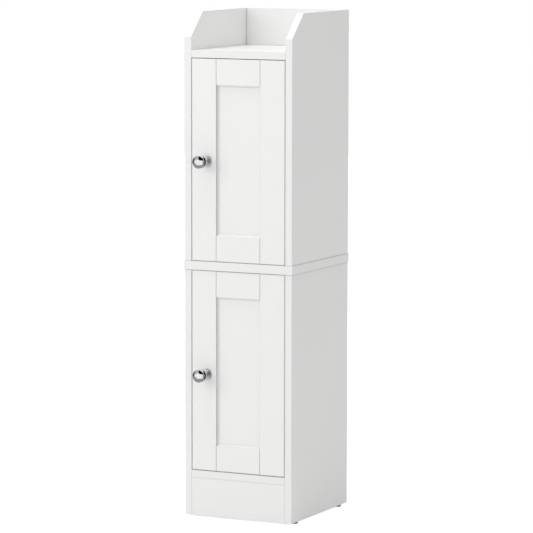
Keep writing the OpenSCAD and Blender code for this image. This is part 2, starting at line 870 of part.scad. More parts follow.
module knob_stile(z0, knob_z, catch_z) {
    difference() {
        stile(z0);
        translate([knob_x, door_back_y, knob_z]) rotate([90, 0, 0])
            screw_hole(machine_screw_r, door_t + over);
        translate([catch_x, door_back_y, catch_z]) rotate([90, 0, 0])
            screw_hole(screw_r, cup_screw_l);
    }
}

module hinge_stile(z0) {
    difference() {
        mirror([1, 0, 0]) stile(z0);
        for (z = [z0 + hinge_inset, z0 + door_h - hinge_inset])
            translate([cup_x, front_y + cup_floor, z]) rotate([-90, 0, 0])
                cylinder(r = cup_r, h = door_t - cup_floor + over);
        at_cup_screws(z0) screw_hole(screw_r, cup_screw_l);
    }
}

// Rail in plan: its ends fit over the stiles' step and bevel and into their grooves
module rail_plan() {
    root_x = sight_l + bevel;
    tip_x = root_x - groove_d + tongue_play;
    tongue_y = front_y + recess_d + groove_play;
    left = [
        [root_x, door_back_y], [root_x, tongue_y + panel_t], [tip_x, tongue_y + panel_t],
        [tip_x, tongue_y], [root_x, tongue_y], [root_x, front_y + step_d + bevel],
        [sight_l, front_y + step_d], [sight_l, front_y + joint_v_d],
        [sight_l + joint_v_w, front_y]
    ];
    right = [for (i = [len(left) - 1:-1:0]) [-left[i][0], left[i][1]]];
    polygon(concat(left, right));
}

// Rail in depth and height above its outer edge
module rail_section() {
    polygon([
        [front_y + edge_ease, 0], [front_y, edge_ease], [front_y, rail_w],
        [front_y + step_d, rail_w],
        [front_y + step_d + bevel, rail_w + bevel], [front_y + recess_d, rail_w + bevel],
        [front_y + recess_d, rail_w + bevel - groove_d],
        [front_y + recess_d + groove_w, rail_w + bevel - groove_d],
        [front_y + recess_d + groove_w, rail_w + bevel], [door_back_y, rail_w + bevel], [door_back_y, 0]
    ]);
}

module rail() {
    intersection() {
        translate([0, 0, -over]) linear_extrude(rail_w + bevel + 2 * over) rail_plan();
        translate([door_l, 0, 0]) rotate([90, 0, 90]) linear_extrude(door_r - door_l) rail_section();
    }
}

module bottom_rail(z0) translate([0, 0, z0]) rail();
module top_rail(z0) translate([0, 0, z0 + door_h]) mirror([0, 0, 1]) rail();

module centre_panel(z0) {
    reach = groove_d - bevel - panel_fit;
    front = front_y + recess_d + groove_play;
    board([sight_l - reach, front, z0 + rail_w - reach],
        [sight_r + reach, front + panel_t, z0 + door_h - rail_w + reach]);
}

// Knob with a waist round its head, about its own axis, z = 0 on the rosette and +Z outwards
module knob_body() {
    len_out = knob_l - rosette_t;
    head_z = len_out - head_t;
    flat_r = knob_r - head_round;
    face_tilt = asin(flat_r / (face_r - head_round));
    rim_z = len_out - face_r + sqrt(pow(face_r - head_round, 2) - flat_r * flat_r);
    dome_r = flat_r + head_round * sin(face_tilt);
    waist_low = head_z + head_round * (1 + sin(waist_turn));
    waist_high = rim_z - head_round * sin(waist_turn);
    waist_r = (waist_high - waist_low) / 2 / sin(waist_turn);
    waist_x = flat_r + (head_round + waist_r) * cos(waist_turn);
    foot = [[0, 0], [neck_foot_r, 0], [(neck_r + neck_foot_r) / 2, neck_foot_h / 3],
        [neck_r, neck_foot_h]];
    flare = arc(neck_r + flare_r, head_z - flare_r - flare_drop, flare_r, 180, 118, 5);
    waist = arc(waist_x, (waist_low + waist_high) / 2, waist_r,
        180 + waist_turn, 180 - waist_turn, waist_steps);
    edge = concat(arc(flat_r, head_z + head_round, head_round, -60, waist_turn, 6),
        [for (i = [1:waist_steps - 1]) waist[i]],
        arc(flat_r, rim_z, head_round, -waist_turn, 90 - face_tilt, 7));
    face = [for (i = [1:5]) let (r = dome_r * (1 - i / 5))
        [r, len_out - (face_r - sqrt(face_r * face_r - r * r))]];
    difference() {
        rotate_extrude() polygon(concat(foot, flare, edge, face));
        translate([0, 0, -over])
            cylinder(r = machine_screw_r + fit, h = knob_screw_grip + over + hole_end);
    }
}

// Stepped rosette under the knob
module rosette_body() {
    lip_in = rosette_r - rosette_lip_w;
    dome_r = lip_in - rosette_groove_w;
    dome_round = min(rosette_round, rosette_t - rosette_lip_t - fit);
    profile = concat([[machine_screw_r + fit, 0], [rosette_r, 0]],
        arc(rosette_r - rosette_lip_round, rosette_lip_t - rosette_lip_round,
            rosette_lip_round, 0, 90, 4),
        [[lip_in, rosette_lip_t], [(lip_in + dome_r) / 2, rosette_lip_t - rosette_groove_d],
            [dome_r, rosette_lip_t]],
        arc(dome_r - dome_round, rosette_t - dome_round, dome_round, 0, 90, 6),
        [[machine_screw_r + fit, rosette_t]]);
    rotate_extrude() polygon(profile);
}

module at_knob(z) translate([knob_x, front_y, z]) rotate([90, 0, 0]) children();

module knob(z) at_knob(z) translate([0, 0, rosette_t]) knob_body();
module rosette(z) at_knob(z) rosette_body();

module knob_screw(z) translate([knob_x, door_back_y, z]) rotate([90, 0, 0])
    pan_screw(machine_screw_r, door_t + rosette_t + knob_screw_grip,
        knob_screw_head_r, knob_screw_head_h);

module strike(z) {
    difference() {
        board([catch_x - strike_w / 2, door_back_y, z - strike_h / 2],
            [catch_x + strike_w / 2, door_back_y + strike_t, z + strike_h / 2]);
        translate([catch_x, door_back_y - over, z]) rotate([-90, 0, 0])
            cylinder(r = screw_r + fit, h = strike_t + 2 * over);
        translate([catch_x, door_back_y + strike_t - strike_sink, z]) rotate([-90, 0, 0])
            cylinder(r = screw_head_r + fit, h = strike_sink + over);
    }
}

module strike_screw(z) translate([catch_x, door_back_y + strike_t - strike_sink, z])
    rotate([90, 0, 0]) {
        cylinder(r = screw_r, h = cup_screw_l);
        translate([0, 0, -strike_sink]) cylinder(r = screw_head_r, h = strike_sink);
    }

module lower_knob_stile() color(white_door)
    knob_stile(lower_door_z, lower_knob_z, plank_z - catch_h / 2);
module lower_hinge_stile() color(white_door) hinge_stile(lower_door_z);
module lower_top_rail() color(white_door) top_rail(lower_door_z);
module lower_bottom_rail() color(white_door) bottom_rail(lower_door_z);
module lower_centre_panel() color(white_door) centre_panel(lower_door_z);
module lower_knob() color(chrome) knob(lower_knob_z);
module lower_rosette() color(chrome) rosette(lower_knob_z);
module lower_knob_screw() color(steel) knob_screw(lower_knob_z);
module lower_hinge_cups() color(steel) hinge_cups(lower_door_z);
module lower_hinge_pins() color(steel) hinge_pins(lower_door_z);
module lower_cup_screws() color(steel) at_cup_screws(lower_door_z)
    translate([0, 0, -flange_t]) pan_screw(screw_r, flange_t + cup_screw_l);
module lower_strike() color(steel) strike(plank_z - catch_h / 2);
module lower_strike_screw() color(steel) strike_screw(plank_z - catch_h / 2);

module upper_knob_stile() color(white_door)
    knob_stile(upper_door_z, upper_knob_z, top_z - catch_h / 2);
module upper_hinge_stile() color(white_door) hinge_stile(upper_door_z);
module upper_top_rail() color(white_door) top_rail(upper_door_z);
module upper_bottom_rail() color(white_door) bottom_rail(upper_door_z);
module upper_centre_panel() color(white_door) centre_panel(upper_door_z);
module upper_knob() color(chrome) knob(upper_knob_z);
module upper_rosette() color(chrome) rosette(upper_knob_z);
module upper_knob_screw() color(steel) knob_screw(upper_knob_z);
module upper_hinge_cups() color(steel) hinge_cups(upper_door_z);
module upper_hinge_pins() color(steel) hinge_pins(upper_door_z);
module upper_cup_screws() color(steel) at_cup_screws(upper_door_z)
    translate([0, 0, -flange_t]) pan_screw(screw_r, flange_t + cup_screw_l);
module upper_strike() color(steel) strike(top_z - catch_h / 2);
module upper_strike_screw() color(steel) strike_screw(top_z - catch_h / 2);

lower_left_side();
lower_right_side();
upper_left_side();
upper_right_side();
base_board();
kick_board();
middle_plank();
top_board();
gallery_back();
lower_back_panel();
upper_back_panel();
lower_shelf();
upper_shelf();
shelf_pins();
floor_glides();
cam_locks();
cam_bolts();
plank_bolts();
dowels();
back_nails();
lower_hinge_plates();
upper_hinge_plates();
lower_hinge_arms();
upper_hinge_arms();
plate_screws();
arm_screws();
door_catches();
catch_magnets();
catch_screws();
lower_knob_stile();
lower_hinge_stile();
lower_top_rail();
lower_bottom_rail();
lower_centre_panel();
lower_knob();
lower_rosette();
lower_knob_screw();
lower_hinge_cups();
lower_hinge_pins();
lower_cup_screws();
lower_strike();
lower_strike_screw();
upper_knob_stile();
upper_hinge_stile();
upper_top_rail();
upper_bottom_rail();
upper_centre_panel();
upper_knob();
upper_rosette();
upper_knob_screw();
upper_hinge_cups();
upper_hinge_pins();
upper_cup_screws();
upper_strike();
upper_strike_screw();
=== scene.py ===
"""Finish, studio and camera for a tall narrow storage cabinet.

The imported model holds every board, door, hinge and fastener at its real place. This
script dresses them in their finishes, stands finer meshes in for the turned, pressed and
threaded pieces, eases the edges of the boards, and lights and frames the cabinet.
Everything is in metres, with the doors facing -Y and +Z up.
"""

import json
import logging
import math
from dataclasses import dataclass, field
from enum import Enum

import bmesh
import bpy
from mathutils import Matrix, Vector


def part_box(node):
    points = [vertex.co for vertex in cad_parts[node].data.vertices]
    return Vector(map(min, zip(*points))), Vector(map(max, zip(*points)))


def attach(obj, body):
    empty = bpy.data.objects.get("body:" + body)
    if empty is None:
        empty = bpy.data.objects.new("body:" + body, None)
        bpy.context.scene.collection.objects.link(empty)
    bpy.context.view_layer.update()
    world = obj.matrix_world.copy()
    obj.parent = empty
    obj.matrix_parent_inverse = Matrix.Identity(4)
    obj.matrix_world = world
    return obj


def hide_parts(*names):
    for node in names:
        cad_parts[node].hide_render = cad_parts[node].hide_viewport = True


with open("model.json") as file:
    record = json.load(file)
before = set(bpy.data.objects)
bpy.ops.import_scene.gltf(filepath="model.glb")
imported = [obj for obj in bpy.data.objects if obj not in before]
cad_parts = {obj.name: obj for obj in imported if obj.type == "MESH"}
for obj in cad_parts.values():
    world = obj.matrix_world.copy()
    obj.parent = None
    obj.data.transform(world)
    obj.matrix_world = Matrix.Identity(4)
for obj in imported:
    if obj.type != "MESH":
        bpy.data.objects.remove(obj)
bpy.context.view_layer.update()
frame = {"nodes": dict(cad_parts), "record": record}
log = logging.getLogger("cabinet")

MM = 0.001
WELD = 0.001 * MM
ON_AXIS = 0.0001 * MM
PARALLEL = 0.9999
THREAD_FORM = ((0.0, 0.0), (0.42, 1.0), (0.58, 1.0), (1.0, 0.0))
CROSS_LAYERS = ((1.0, 1.25, 1.1), (-1.0, 0.45, 0.7))
SIZE_DIGITS = 5
FACED_BOARDS = (
    "lower_left_side", "lower_right_side", "upper_left_side", "upper_right_side",
    "base_board", "kick_board", "middle_plank", "top_board", "gallery_back",
    "lower_shelf", "upper_shelf",
)
Colour = tuple[float, float, float]
Profile = list[tuple[float, float]]
Node = bpy.types.Node
Socket = bpy.types.NodeSocket
Sockets = bpy.types.bpy_prop_collection
Mesh = bmesh.types.BMesh


class Slot(Enum):
    """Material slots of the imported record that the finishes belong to."""

    BOARD = "white_board"
    DOOR = "white_door"
    BACK = "white_back"
    CHROME = "chrome"
    STEEL = "zinc_steel"
    GREY_PLASTIC = "grey_plastic"
    WHITE_PLASTIC = "white_plastic"
    MAGNET = "magnet"
    BEECH = "beech"


class Half(Enum):
    """The two stacked halves of the cabinet, by the first word of their nodes' names."""

    LOWER = "lower"
    UPPER = "upper"

    @property
    def door_body(self) -> str:
        """Name of the body that this half's door belongs to."""
        return f"{self.value}_door"


class Effect(Enum):
    """Surface effects that several finishes share, each a shader node group."""

    GRAIN = "fine_grain"
    WEAR = "eased_edge_wear"
    DUST = "settled_dust"
    MARKS = "hand_marks"
    # Painted shade in grooves, joints and inside corners.
    PAINTED_SHADE = "painted_crevice_shade"


def linear(step: int) -> float:
    """Linear share of light of an sRGB step of 0 to 255."""
    share = step / 255
    return share / 12.92 if share <= 0.04045 else ((share + 0.055) / 1.055) ** 2.4


def srgb(red: int, green: int, blue: int) -> Colour:
    """Linear colour of an sRGB colour that is given in steps of 0 to 255."""
    return (linear(red), linear(green), linear(blue))


class Sketch:
    """Adds the nodes of one shader tree and joins them.

    Args:
        tree: The node tree that is built.
    """

    def __init__(self, tree: bpy.types.NodeTree) -> None:
        """Starts on a tree."""
        self.tree = tree

    def join(self, source: Socket, target: Socket) -> None:
        """Joins an output to an input."""
        self.tree.links.new(source, target)

    def fill(self, node: Node, inputs: dict[str | int, object]) -> None:
        """Joins or sets inputs of a node.

        Args:
            node: The node.
            inputs: Value, or socket to join, for each named or numbered input.
        """
        for key, value in inputs.items():
            if isinstance(value, Socket):
                self.join(value, node.inputs[key])
            else:
                node.inputs[key].default_value = value

    def add(self, kind: str, inputs: dict[str | int, object] | None = None, **settings: object) -> Node:
        """Adds a node.

        Args:
            kind: Node type without its ShaderNode prefix.
            inputs: Value, or socket to join, for each named or numbered input.
            settings: Properties of the node itself.

        Returns:
            The new node.
        """
        node = self.tree.nodes.new(kind if kind.startswith("Node") else f"ShaderNode{kind}")
        for key, value in settings.items():
            setattr(node, key, value)
        self.fill(node, inputs or {})
        return node

    def math(self, operation: str, first: object, second: object = 0.0, clamp: bool = False) -> Socket:
        """Adds a Math node and returns its value."""
        node = self.add("Math", {0: first, 1: second}, operation=operation, use_clamp=clamp)
        return node.outputs[0]

    def dot(self, first: object, second: object) -> Socket:
        """Adds the dot product of two vectors and returns its value."""
        node = self.add("VectorMath", {0: first, 1: second}, operation="DOT_PRODUCT")
        return node.outputs["Value"]

    def scaled(self, vector: object, scale: Socket) -> Socket:
        """Adds a vector or colour times a number and returns it."""
        node = self.add("VectorMath", {0: vector, "Scale": scale}, operation="SCALE")
        return node.outputs["Vector"]

    def noise(self, place: Socket, scale: object, **shape: float) -> Socket:
        """Adds a noise texture.

        Args:
            place: Coordinates that it is drawn on.
            scale: Its scale.
            shape: Its detail, roughness and distortion, where they aren't the node's own.

        Returns:
            The noise's value.
        """
        inputs = {"Vector": place, "Scale": scale}
        inputs.update({name.capitalize(): value for name, value in shape.items()})
        return self.add("TexNoise", inputs).outputs["Fac"]

    def remap(self, value: object, start: object, end: object,
              low: object = 0.0, high: object = 1.0) -> Socket:
        """Adds a Map Range node.

        Args:
            value: The number that is mapped.
            start: The number that gives the lowest result.
            end: The number that gives the highest result.
            low: The result at the start.
            high: The result at the end.

        Returns:
            The result, held between its ends.
        """
        limits = {"From Min": start, "From Max": end, "To Min": low, "To Max": high}
        return self.add("MapRange", {"Value": value, **limits}).outputs["Result"]

    def fade(self, share: object, first: object, second: object) -> Socket:
        """Adds a Mix node between two numbers and returns its value."""
        return self.add("Mix", {0: share, 2: first, 3: second}, data_type="FLOAT").outputs[0]

    def blend(self, share: object, first: object, second: object) -> Socket:
        """Adds a colour Mix node.

        Args:
            share: Part of the second colour, 0 to 1.
            first: Colour at a share of 0.
            second: Colour at a share of 1.

        Returns:
            The mixed colour's socket.
        """
        colours = [end if isinstance(end, Socket) else (*end, 1.0) for end in (first, second)]
        return self.add("Mix", {0: share, 6: colours[0], 7: colours[1]}, data_type="RGBA").outputs[2]


class EffectLibrary:
    """Builds each shared effect once, for every material that places it."""

    RUBBED = (0.45, 0.7)
    DUSTY = (0.35, 0.75)
    SMEARED = (0.4, 0.72)
    LEVELNESS = 3.0
    FULLY_CLOSED = 0.3

    def __init__(self) -> None:
        """Builds every effect."""
        self.groups = {
            Effect.GRAIN: self.fine_grain(),
            Effect.WEAR: self.eased_edge_wear(),
            Effect.DUST: self.settled_dust(),
            Effect.MARKS: self.hand_marks(),
            Effect.PAINTED_SHADE: self.painted_crevice_shade(),
        }

    @staticmethod
    def new_group(effect: Effect, inputs: dict[str, str],
                  outputs: dict[str, str]) -> tuple[Sketch, Sockets, Sockets]:
        """Makes an empty group with its sockets.

        Args:
            effect: The effect that the group is for.
            inputs: Socket type of each input, by name.
            outputs: Socket type of each output, by name.

        Returns:
            The group's sketch, what it is given and what it puts out.
        """
        tree = bpy.data.node_groups.new(effect.value, "ShaderNodeTree")
        for name, kind in inputs.items():
            tree.interface.new_socket(name, in_out="INPUT", socket_type=f"NodeSocket{kind}")
        for name, kind in outputs.items():
            tree.interface.new_socket(name, in_out="OUTPUT", socket_type=f"NodeSocket{kind}")
        sketch = Sketch(tree)
        return sketch, sketch.add("NodeGroupInput").outputs, sketch.add("NodeGroupOutput").inputs

    def fine_grain(self) -> bpy.types.NodeTree:
        """Fine pitted texture of film, lacquer or moulded plastic, over a faint cloudiness.

        Returns:
            The group, which puts out a shade around 1 and a height.
        """
        sketch, given, out = self.new_group(
            Effect.GRAIN,
            {"Vector": "Vector", "Scale": "Float", "Cloud Scale": "Float", "Cloud": "Float"},
            {"Shade": "Float", "Height": "Float"},
        )
        pits = sketch.noise(given["Vector"], given["Scale"], detail=3.0, roughness=0.6)
        clouds = sketch.noise(given["Vector"], given["Cloud Scale"], detail=2.0)
        swing = sketch.math("MULTIPLY", sketch.math("SUBTRACT", clouds, 0.5), given["Cloud"])
        sketch.join(sketch.math("ADD", swing, 1.0), out["Shade"])
        sketch.join(pits, out["Height"])
        return sketch.tree

    def eased_edge_wear(self) -> bpy.types.NodeTree:
        """Rounded normal along sharp edges, and a broken mask of where they are rubbed.

        Returns:
            The group, which puts out the mask and the normal.
        """
        sketch, given, out = self.new_group(
            Effect.WEAR,
            {"Vector": "Vector", "Radius": "Float", "Scale": "Float", "Amount": "Float"},
            {"Mask": "Float", "Normal": "Vector"},
        )
        rounded = sketch.add("Bevel", {"Radius": given["Radius"]}, samples=4).outputs["Normal"]
        surface = sketch.add("NewGeometry").outputs["Normal"]
        edge = sketch.math("SUBTRACT", 1.0, sketch.dot(rounded, surface), clamp=True)
        patches = sketch.noise(given["Vector"], given["Scale"], detail=4.0)
        rubbed = sketch.math("MULTIPLY", edge, sketch.remap(patches, *self.RUBBED))
        sketch.join(sketch.math("MULTIPLY", rubbed, given["Amount"], clamp=True), out["Mask"])
        sketch.join(rounded, out["Normal"])
        return sketch.tree

    def settled_dust(self) -> bpy.types.NodeTree:
        """Uneven film of dust on faces that look up.

        Returns:
            The group, which puts out the film's mask.
        """
        sketch, given, out = self.new_group(
            Effect.DUST, {"Vector": "Vector", "Scale": "Float", "Amount": "Float"}, {"Mask": "Float"}
        )
        surface = sketch.add("NewGeometry").outputs["Normal"]
        upward = sketch.add("SeparateXYZ", {0: surface}).outputs["Z"]
        level = sketch.math("POWER", sketch.math("MAXIMUM", upward, 0.0), self.LEVELNESS)
        patches = sketch.noise(given["Vector"], given["Scale"], detail=5.0, roughness=0.65)
        lying = sketch.math("MULTIPLY", level, sketch.remap(patches, *self.DUSTY))
        sketch.join(sketch.math("MULTIPLY", lying, given["Amount"], clamp=True), out["Mask"])
        return sketch.tree

    def hand_marks(self) -> bpy.types.NodeTree:
        """Roughness that rises where hands and cloths have dulled a smooth surface.

        Returns:
            The group, which puts out the roughness and the marks' mask.
        """
        sketch, given, out = self.new_group(
            Effect.MARKS,
            {"Vector": "Vector", "Scale": "Float", "Clean": "Float", "Dulled": "Float"},
            {"Roughness": "Float", "Mask": "Float"},
        )
        smears = sketch.noise(given["Vector"], given["Scale"], detail=4.0, distortion=0.8)
        mask = sketch.remap(smears, *self.SMEARED)
        sketch.join(sketch.remap(mask, 0.0, 1.0, given["Clean"], given["Dulled"]), out["Roughness"])
        sketch.join(mask, out["Mask"])
        return sketch.tree

    def painted_crevice_shade(self) -> bpy.types.NodeTree:
        """Painted shade: a mask of narrow grooves, joints and inside corners, taken from occlusion round a
        normal leant towards the lamps, so that it is deepest under ledges and beside left-hand walls.

        Returns:
            The group, which puts out the mask.
        """
        sketch, given, out = self.new_group(
            Effect.PAINTED_SHADE,
            {"Reach": "Float", "Onset": "Float", "Amount": "Float", "Lean": "Vector"},
            {"Mask": "Float"},
        )
        surface = sketch.add("NewGeometry").outputs["Normal"]
        leant = sketch.add("VectorMath", {0: surface, 1: given["Lean"]}).outputs["Vector"]
        turned_up = sketch.add("VectorMath", {0: leant}, operation="NORMALIZE").outputs["Vector"]
        opening = sketch.add(
            "AmbientOcclusion", {"Distance": given["Reach"], "Normal": turned_up}, samples=8
        )
        closed = sketch.remap(opening.outputs["AO"], given["Onset"], self.FULLY_CLOSED)
        sketch.join(sketch.math("MULTIPLY", closed, given["Amount"], clamp=True), out["Mask"])
        return sketch.tree


class Coat(Sketch):
    """Material of one finish, with its shader and the shared effects that it places.

    Args:
        name: The material's name.
        effects: The shared effects.
    """

    def __init__(self, name: str, effects: EffectLibrary) -> None:
        """Starts on a new material with an empty Principled shader.

        Args:
            name: The material's name.
            effects: The shared effects.
        """
        self.material = bpy.data.materials.new(name)
        self.material.use_nodes = True
        self.material.node_tree.nodes.clear()
        super().__init__(self.material.node_tree)
        self.effects = effects
        self.shader = self.add("BsdfPrincipled")
        self.add("OutputMaterial", {"Surface": self.shader.outputs["BSDF"]})
        self.coordinates = self.add("TexCoord").outputs["Object"]

    def effect(self, effect: Effect, **values: object) -> Sockets:
        """Places a shared effect on the object's coordinates.

        Args:
            effect: Which effect to place.
            values: The finish's own values, by the names of the effect's sockets.

        Returns:
            The effect's outputs.
        """
        node = self.tree.nodes.new("ShaderNodeGroup")
        node.node_tree = self.effects.groups[effect]
        self.fill(node, {name.replace("_", " ").title(): value for name, value in values.items()})
        if "Vector" in node.inputs:
            self.join(self.coordinates, node.inputs["Vector"])
        return node.outputs

    def press(self, strength: float, depth: float, height: Socket, normal: Socket | None = None) -> None:
        """Presses a height into the shader's normal.

        Args:
            strength: Share of the height that is used.
            depth: What a full step of the height measures.
            height: The height, 0 to 1.
            normal: Normal that it starts from, or None for the surface's own.
        """
        inputs = {"Strength": strength, "Distance": depth, "Height": height}
        if normal is not None:
            inputs["Normal"] = normal
        self.join(self.add("Bump", inputs).outputs["Normal"], self.shader.inputs["Normal"])


@dataclass(frozen=True)
class WhiteSurface:
    """White film or lacquer on board, with its grain, faint cloudiness, dust, edge wear and painted shade
    in its grooves and joints.
    """

    slot: Slot
    colour: Colour
    clean: float
    dulled: float
    grain_scale: float
    grain_depth: float
    grain_strength: float = 0.6
    marks_scale: float = 14.0
    cloud: float = 0.02
    cloud_scale: float = 9.0
    edge_radius: float = 0.5 * MM
    edge_colour: Colour = srgb(225, 222, 214)
    edge_scale: float = 160.0
    edge_amount: float = 0.5
    dust_colour: Colour = srgb(214, 210, 202)
    dust_scale: float = 28.0
    dust_amount: float = 0.12
    # Painted shade: darkens the colour in grooves, joints and inside corners, leant towards the lamps.
    painted_shade_reach: float = 1.45 * MM
    painted_shade_onset: float = 0.95
    painted_shade_amount: float = 0.5
    painted_shade_colour: Colour = srgb(92, 91, 88)
    painted_shade_lean: tuple[float, float, float] = (-0.45, 0.0, 0.75)

    def material(self, effects: EffectLibrary) -> bpy.types.Material:
        """Builds the finish.

        Args:
            effects: The shared effects.

        Returns:
            The material.
        """
        coat = Coat(self.slot.value, effects)
        grain = coat.effect(
            Effect.GRAIN, scale=self.grain_scale, cloud_scale=self.cloud_scale, cloud=self.cloud
        )
        wear = coat.effect(
            Effect.WEAR, radius=self.edge_radius, scale=self.edge_scale, amount=self.edge_amount
        )
        dust = coat.effect(Effect.DUST, scale=self.dust_scale, amount=self.dust_amount)
        marks = coat.effect(Effect.MARKS, scale=self.marks_scale, clean=self.clean, dulled=self.dulled)
        # Painted shade in grooves, joints and inside corners.
        painted_shade_out = coat.effect(
            Effect.PAINTED_SHADE, reach=self.painted_shade_reach, onset=self.painted_shade_onset,
            amount=self.painted_shade_amount, lean=self.painted_shade_lean,
        )
        worn = coat.blend(wear["Mask"], coat.scaled(self.colour, grain["Shade"]), self.edge_colour)
        dusty = coat.blend(dust["Mask"], worn, self.dust_colour)
        # Lays the painted shade over the dusty colour.
        shaded = coat.blend(painted_shade_out["Mask"], dusty, self.painted_shade_colour)
        coat.fill(coat.shader, {"Base Color": shaded, "Roughness": marks["Roughness"]})
        coat.press(self.grain_strength, self.grain_depth, grain["Height"], wear["Normal"])
        return coat.material


@dataclass(frozen=True)
class PlatedMetal:
    """Plated metal, from mirror chrome to satin zinc."""

    slot: Slot
    colour: Colour
    smeared_colour: Colour
    clean: float
    dulled: float
    marks_scale: float
    grain_scale: float
    grain_depth: float
    grain_strength: float = 0.5
    edge_radius: float = 0.15 * MM

    def material(self, effects: EffectLibrary) -> bpy.types.Material:
        """Builds the finish.

        Args:
            effects: The shared effects.

        Returns:
            The material.
        """
        coat = Coat(self.slot.value, effects)
        marks = coat.effect(Effect.MARKS, scale=self.marks_scale, clean=self.clean, dulled=self.dulled)
        grain = coat.effect(Effect.GRAIN, scale=self.grain_scale)
        wear = coat.effect(Effect.WEAR, radius=self.edge_radius)
        tint = coat.blend(marks["Mask"], self.colour, self.smeared_colour)
        coat.fill(coat.shader, {"Metallic": 1.0, "Base Color": tint, "Roughness": marks["Roughness"]})
        coat.press(self.grain_strength, self.grain_depth, grain["Height"], wear["Normal"])
        return coat.material


@dataclass(frozen=True)
class MouldedPlastic:
    """Moulded plastic with a fine spark-eroded texture."""

    slot: Slot
    colour: Colour
    rubbed_colour: Colour
    clean: float
    dulled: float
    marks_scale: float = 90.0
    grain_scale: float = 2600.0
    grain_depth: float = 0.04 * MM
    grain_strength: float = 0.7
    cloud: float = 0.05
    cloud_scale: float = 70.0
    edge_radius: float = 0.3 * MM
    edge_scale: float = 300.0
    edge_amount: float = 1.2

    def material(self, effects: EffectLibrary) -> bpy.types.Material:
        """Builds the finish.

        Args:
            effects: The shared effects.

        Returns:
            The material.
        """
        coat = Coat(self.slot.value, effects)
        grain = coat.effect(
            Effect.GRAIN, scale=self.grain_scale, cloud_scale=self.cloud_scale, cloud=self.cloud
        )
        wear = coat.effect(
            Effect.WEAR, radius=self.edge_radius, scale=self.edge_scale, amount=self.edge_amount
        )
        marks = coat.effect(Effect.MARKS, scale=self.marks_scale, clean=self.clean, dulled=self.dulled)
        rubbed = coat.blend(wear["Mask"], coat.scaled(self.colour, grain["Shade"]), self.rubbed_colour)
        coat.fill(coat.shader, {"Base Color": rubbed, "Roughness": marks["Roughness"]})
        coat.press(self.grain_strength, self.grain_depth, grain["Height"], wear["Normal"])
        return coat.material


@dataclass(frozen=True)
class SinteredMagnet:
    """Dark pressed ferrite with pale chips along its edges."""

    slot: Slot = Slot.MAGNET
    colour: Colour = srgb(58, 58, 62)
    roughness: float = 0.62
    grain_scale: float = 3500.0
    grain_depth: float = 0.06 * MM
    grain_strength: float = 0.8
    cloud: float = 0.5
    cloud_scale: float = 500.0
    chip_colour: Colour = srgb(120, 118, 115)
    chip_radius: float = 0.3 * MM
    chip_scale: float = 900.0
    chip_amount: float = 2.5

    def material(self, effects: EffectLibrary) -> bpy.types.Material:
        """Builds the finish.

        Args:
            effects: The shared effects.

        Returns:
            The material.
        """
        coat = Coat(self.slot.value, effects)
        grain = coat.effect(
            Effect.GRAIN, scale=self.grain_scale, cloud_scale=self.cloud_scale, cloud=self.cloud
        )
        wear = coat.effect(
            Effect.WEAR, radius=self.chip_radius, scale=self.chip_scale, amount=self.chip_amount
        )
        chipped = coat.blend(wear["Mask"], coat.scaled(self.colour, grain["Shade"]), self.chip_colour)
        coat.fill(coat.shader, {"Base Color": chipped, "Roughness": self.roughness})
        coat.press(self.grain_strength, self.grain_depth, grain["Height"])
        return coat.material


@dataclass(frozen=True)
class BareBeech:
    """Turned beech with rays and flecks along its length."""

    slot: Slot = Slot.BEECH
    colour: Colour = srgb(214, 180, 136)
    dark_colour: Colour = srgb(176, 134, 90)
    clean: float = 0.55
    dulled: float = 0.75
    marks_scale: float = 120.0
    stretch: float = 0.12
    ring_scale: float = 220.0
    fleck_scale: float = 1800.0
    figure_depth: float = 0.05 * MM
    figure_strength: float = 0.5

    def material(self, effects: EffectLibrary) -> bpy.types.Material:
        """Builds the finish.

        Args:
            effects: The shared effects.

        Returns:
            The material.
        """
        coat = Coat(self.slot.value, effects)
        stretched = coat.add("Mapping", {"Vector": coat.coordinates, "Scale": (self.stretch, 1.0, 1.0)})
        along = stretched.outputs["Vector"]
        rings = coat.add(
            "TexWave", {"Vector": along, "Scale": self.ring_scale, "Distortion": 5.0, "Detail": 3.0},
            bands_direction="Y",
        )
        flecks = coat.noise(along, self.fleck_scale, detail=4.0)
        figure = coat.math("MULTIPLY", rings.outputs["Fac"], flecks)
        wood = coat.blend(figure, self.colour, self.dark_colour)
        marks = coat.effect(Effect.MARKS, scale=self.marks_scale, clean=self.clean, dulled=self.dulled)
        coat.fill(coat.shader, {"Base Color": wood, "Roughness": marks["Roughness"]})
        coat.press(self.figure_strength, self.figure_depth, figure)
        return coat.material


@dataclass(frozen=True)
class PressedChips:
    """Bare core of the faced boards, pressed from wood chips."""

    name: str = "pressed_chips"
    light: Colour = srgb(214, 190, 152)
    dark: Colour = srgb(146, 112, 74)
    clean: float = 0.75
    dulled: float = 0.9
    marks_scale: float = 200.0
    chip_scale: float = 900.0
    chip_depth: float = 0.15 * MM
    chip_strength: float = 0.9

    def material(self, effects: EffectLibrary) -> bpy.types.Material:
        """Builds the finish.

        Args:
            effects: The shared effects.

        Returns:
            The material.
        """
        coat = Coat(self.name, effects)
        chips = coat.add("TexVoronoi", {"Vector": coat.coordinates, "Scale": self.chip_scale})
        tone = coat.add("SeparateXYZ", {0: chips.outputs["Color"]}).outputs["X"]
        mixed = coat.blend(tone, self.light, self.dark)
        marks = coat.effect(Effect.MARKS, scale=self.marks_scale, clean=self.clean, dulled=self.dulled)
        coat.fill(coat.shader, {"Base Color": mixed, "Roughness": marks["Roughness"]})
        coat.press(self.chip_strength, self.chip_depth, chips.outputs["Distance"])
        return coat.material


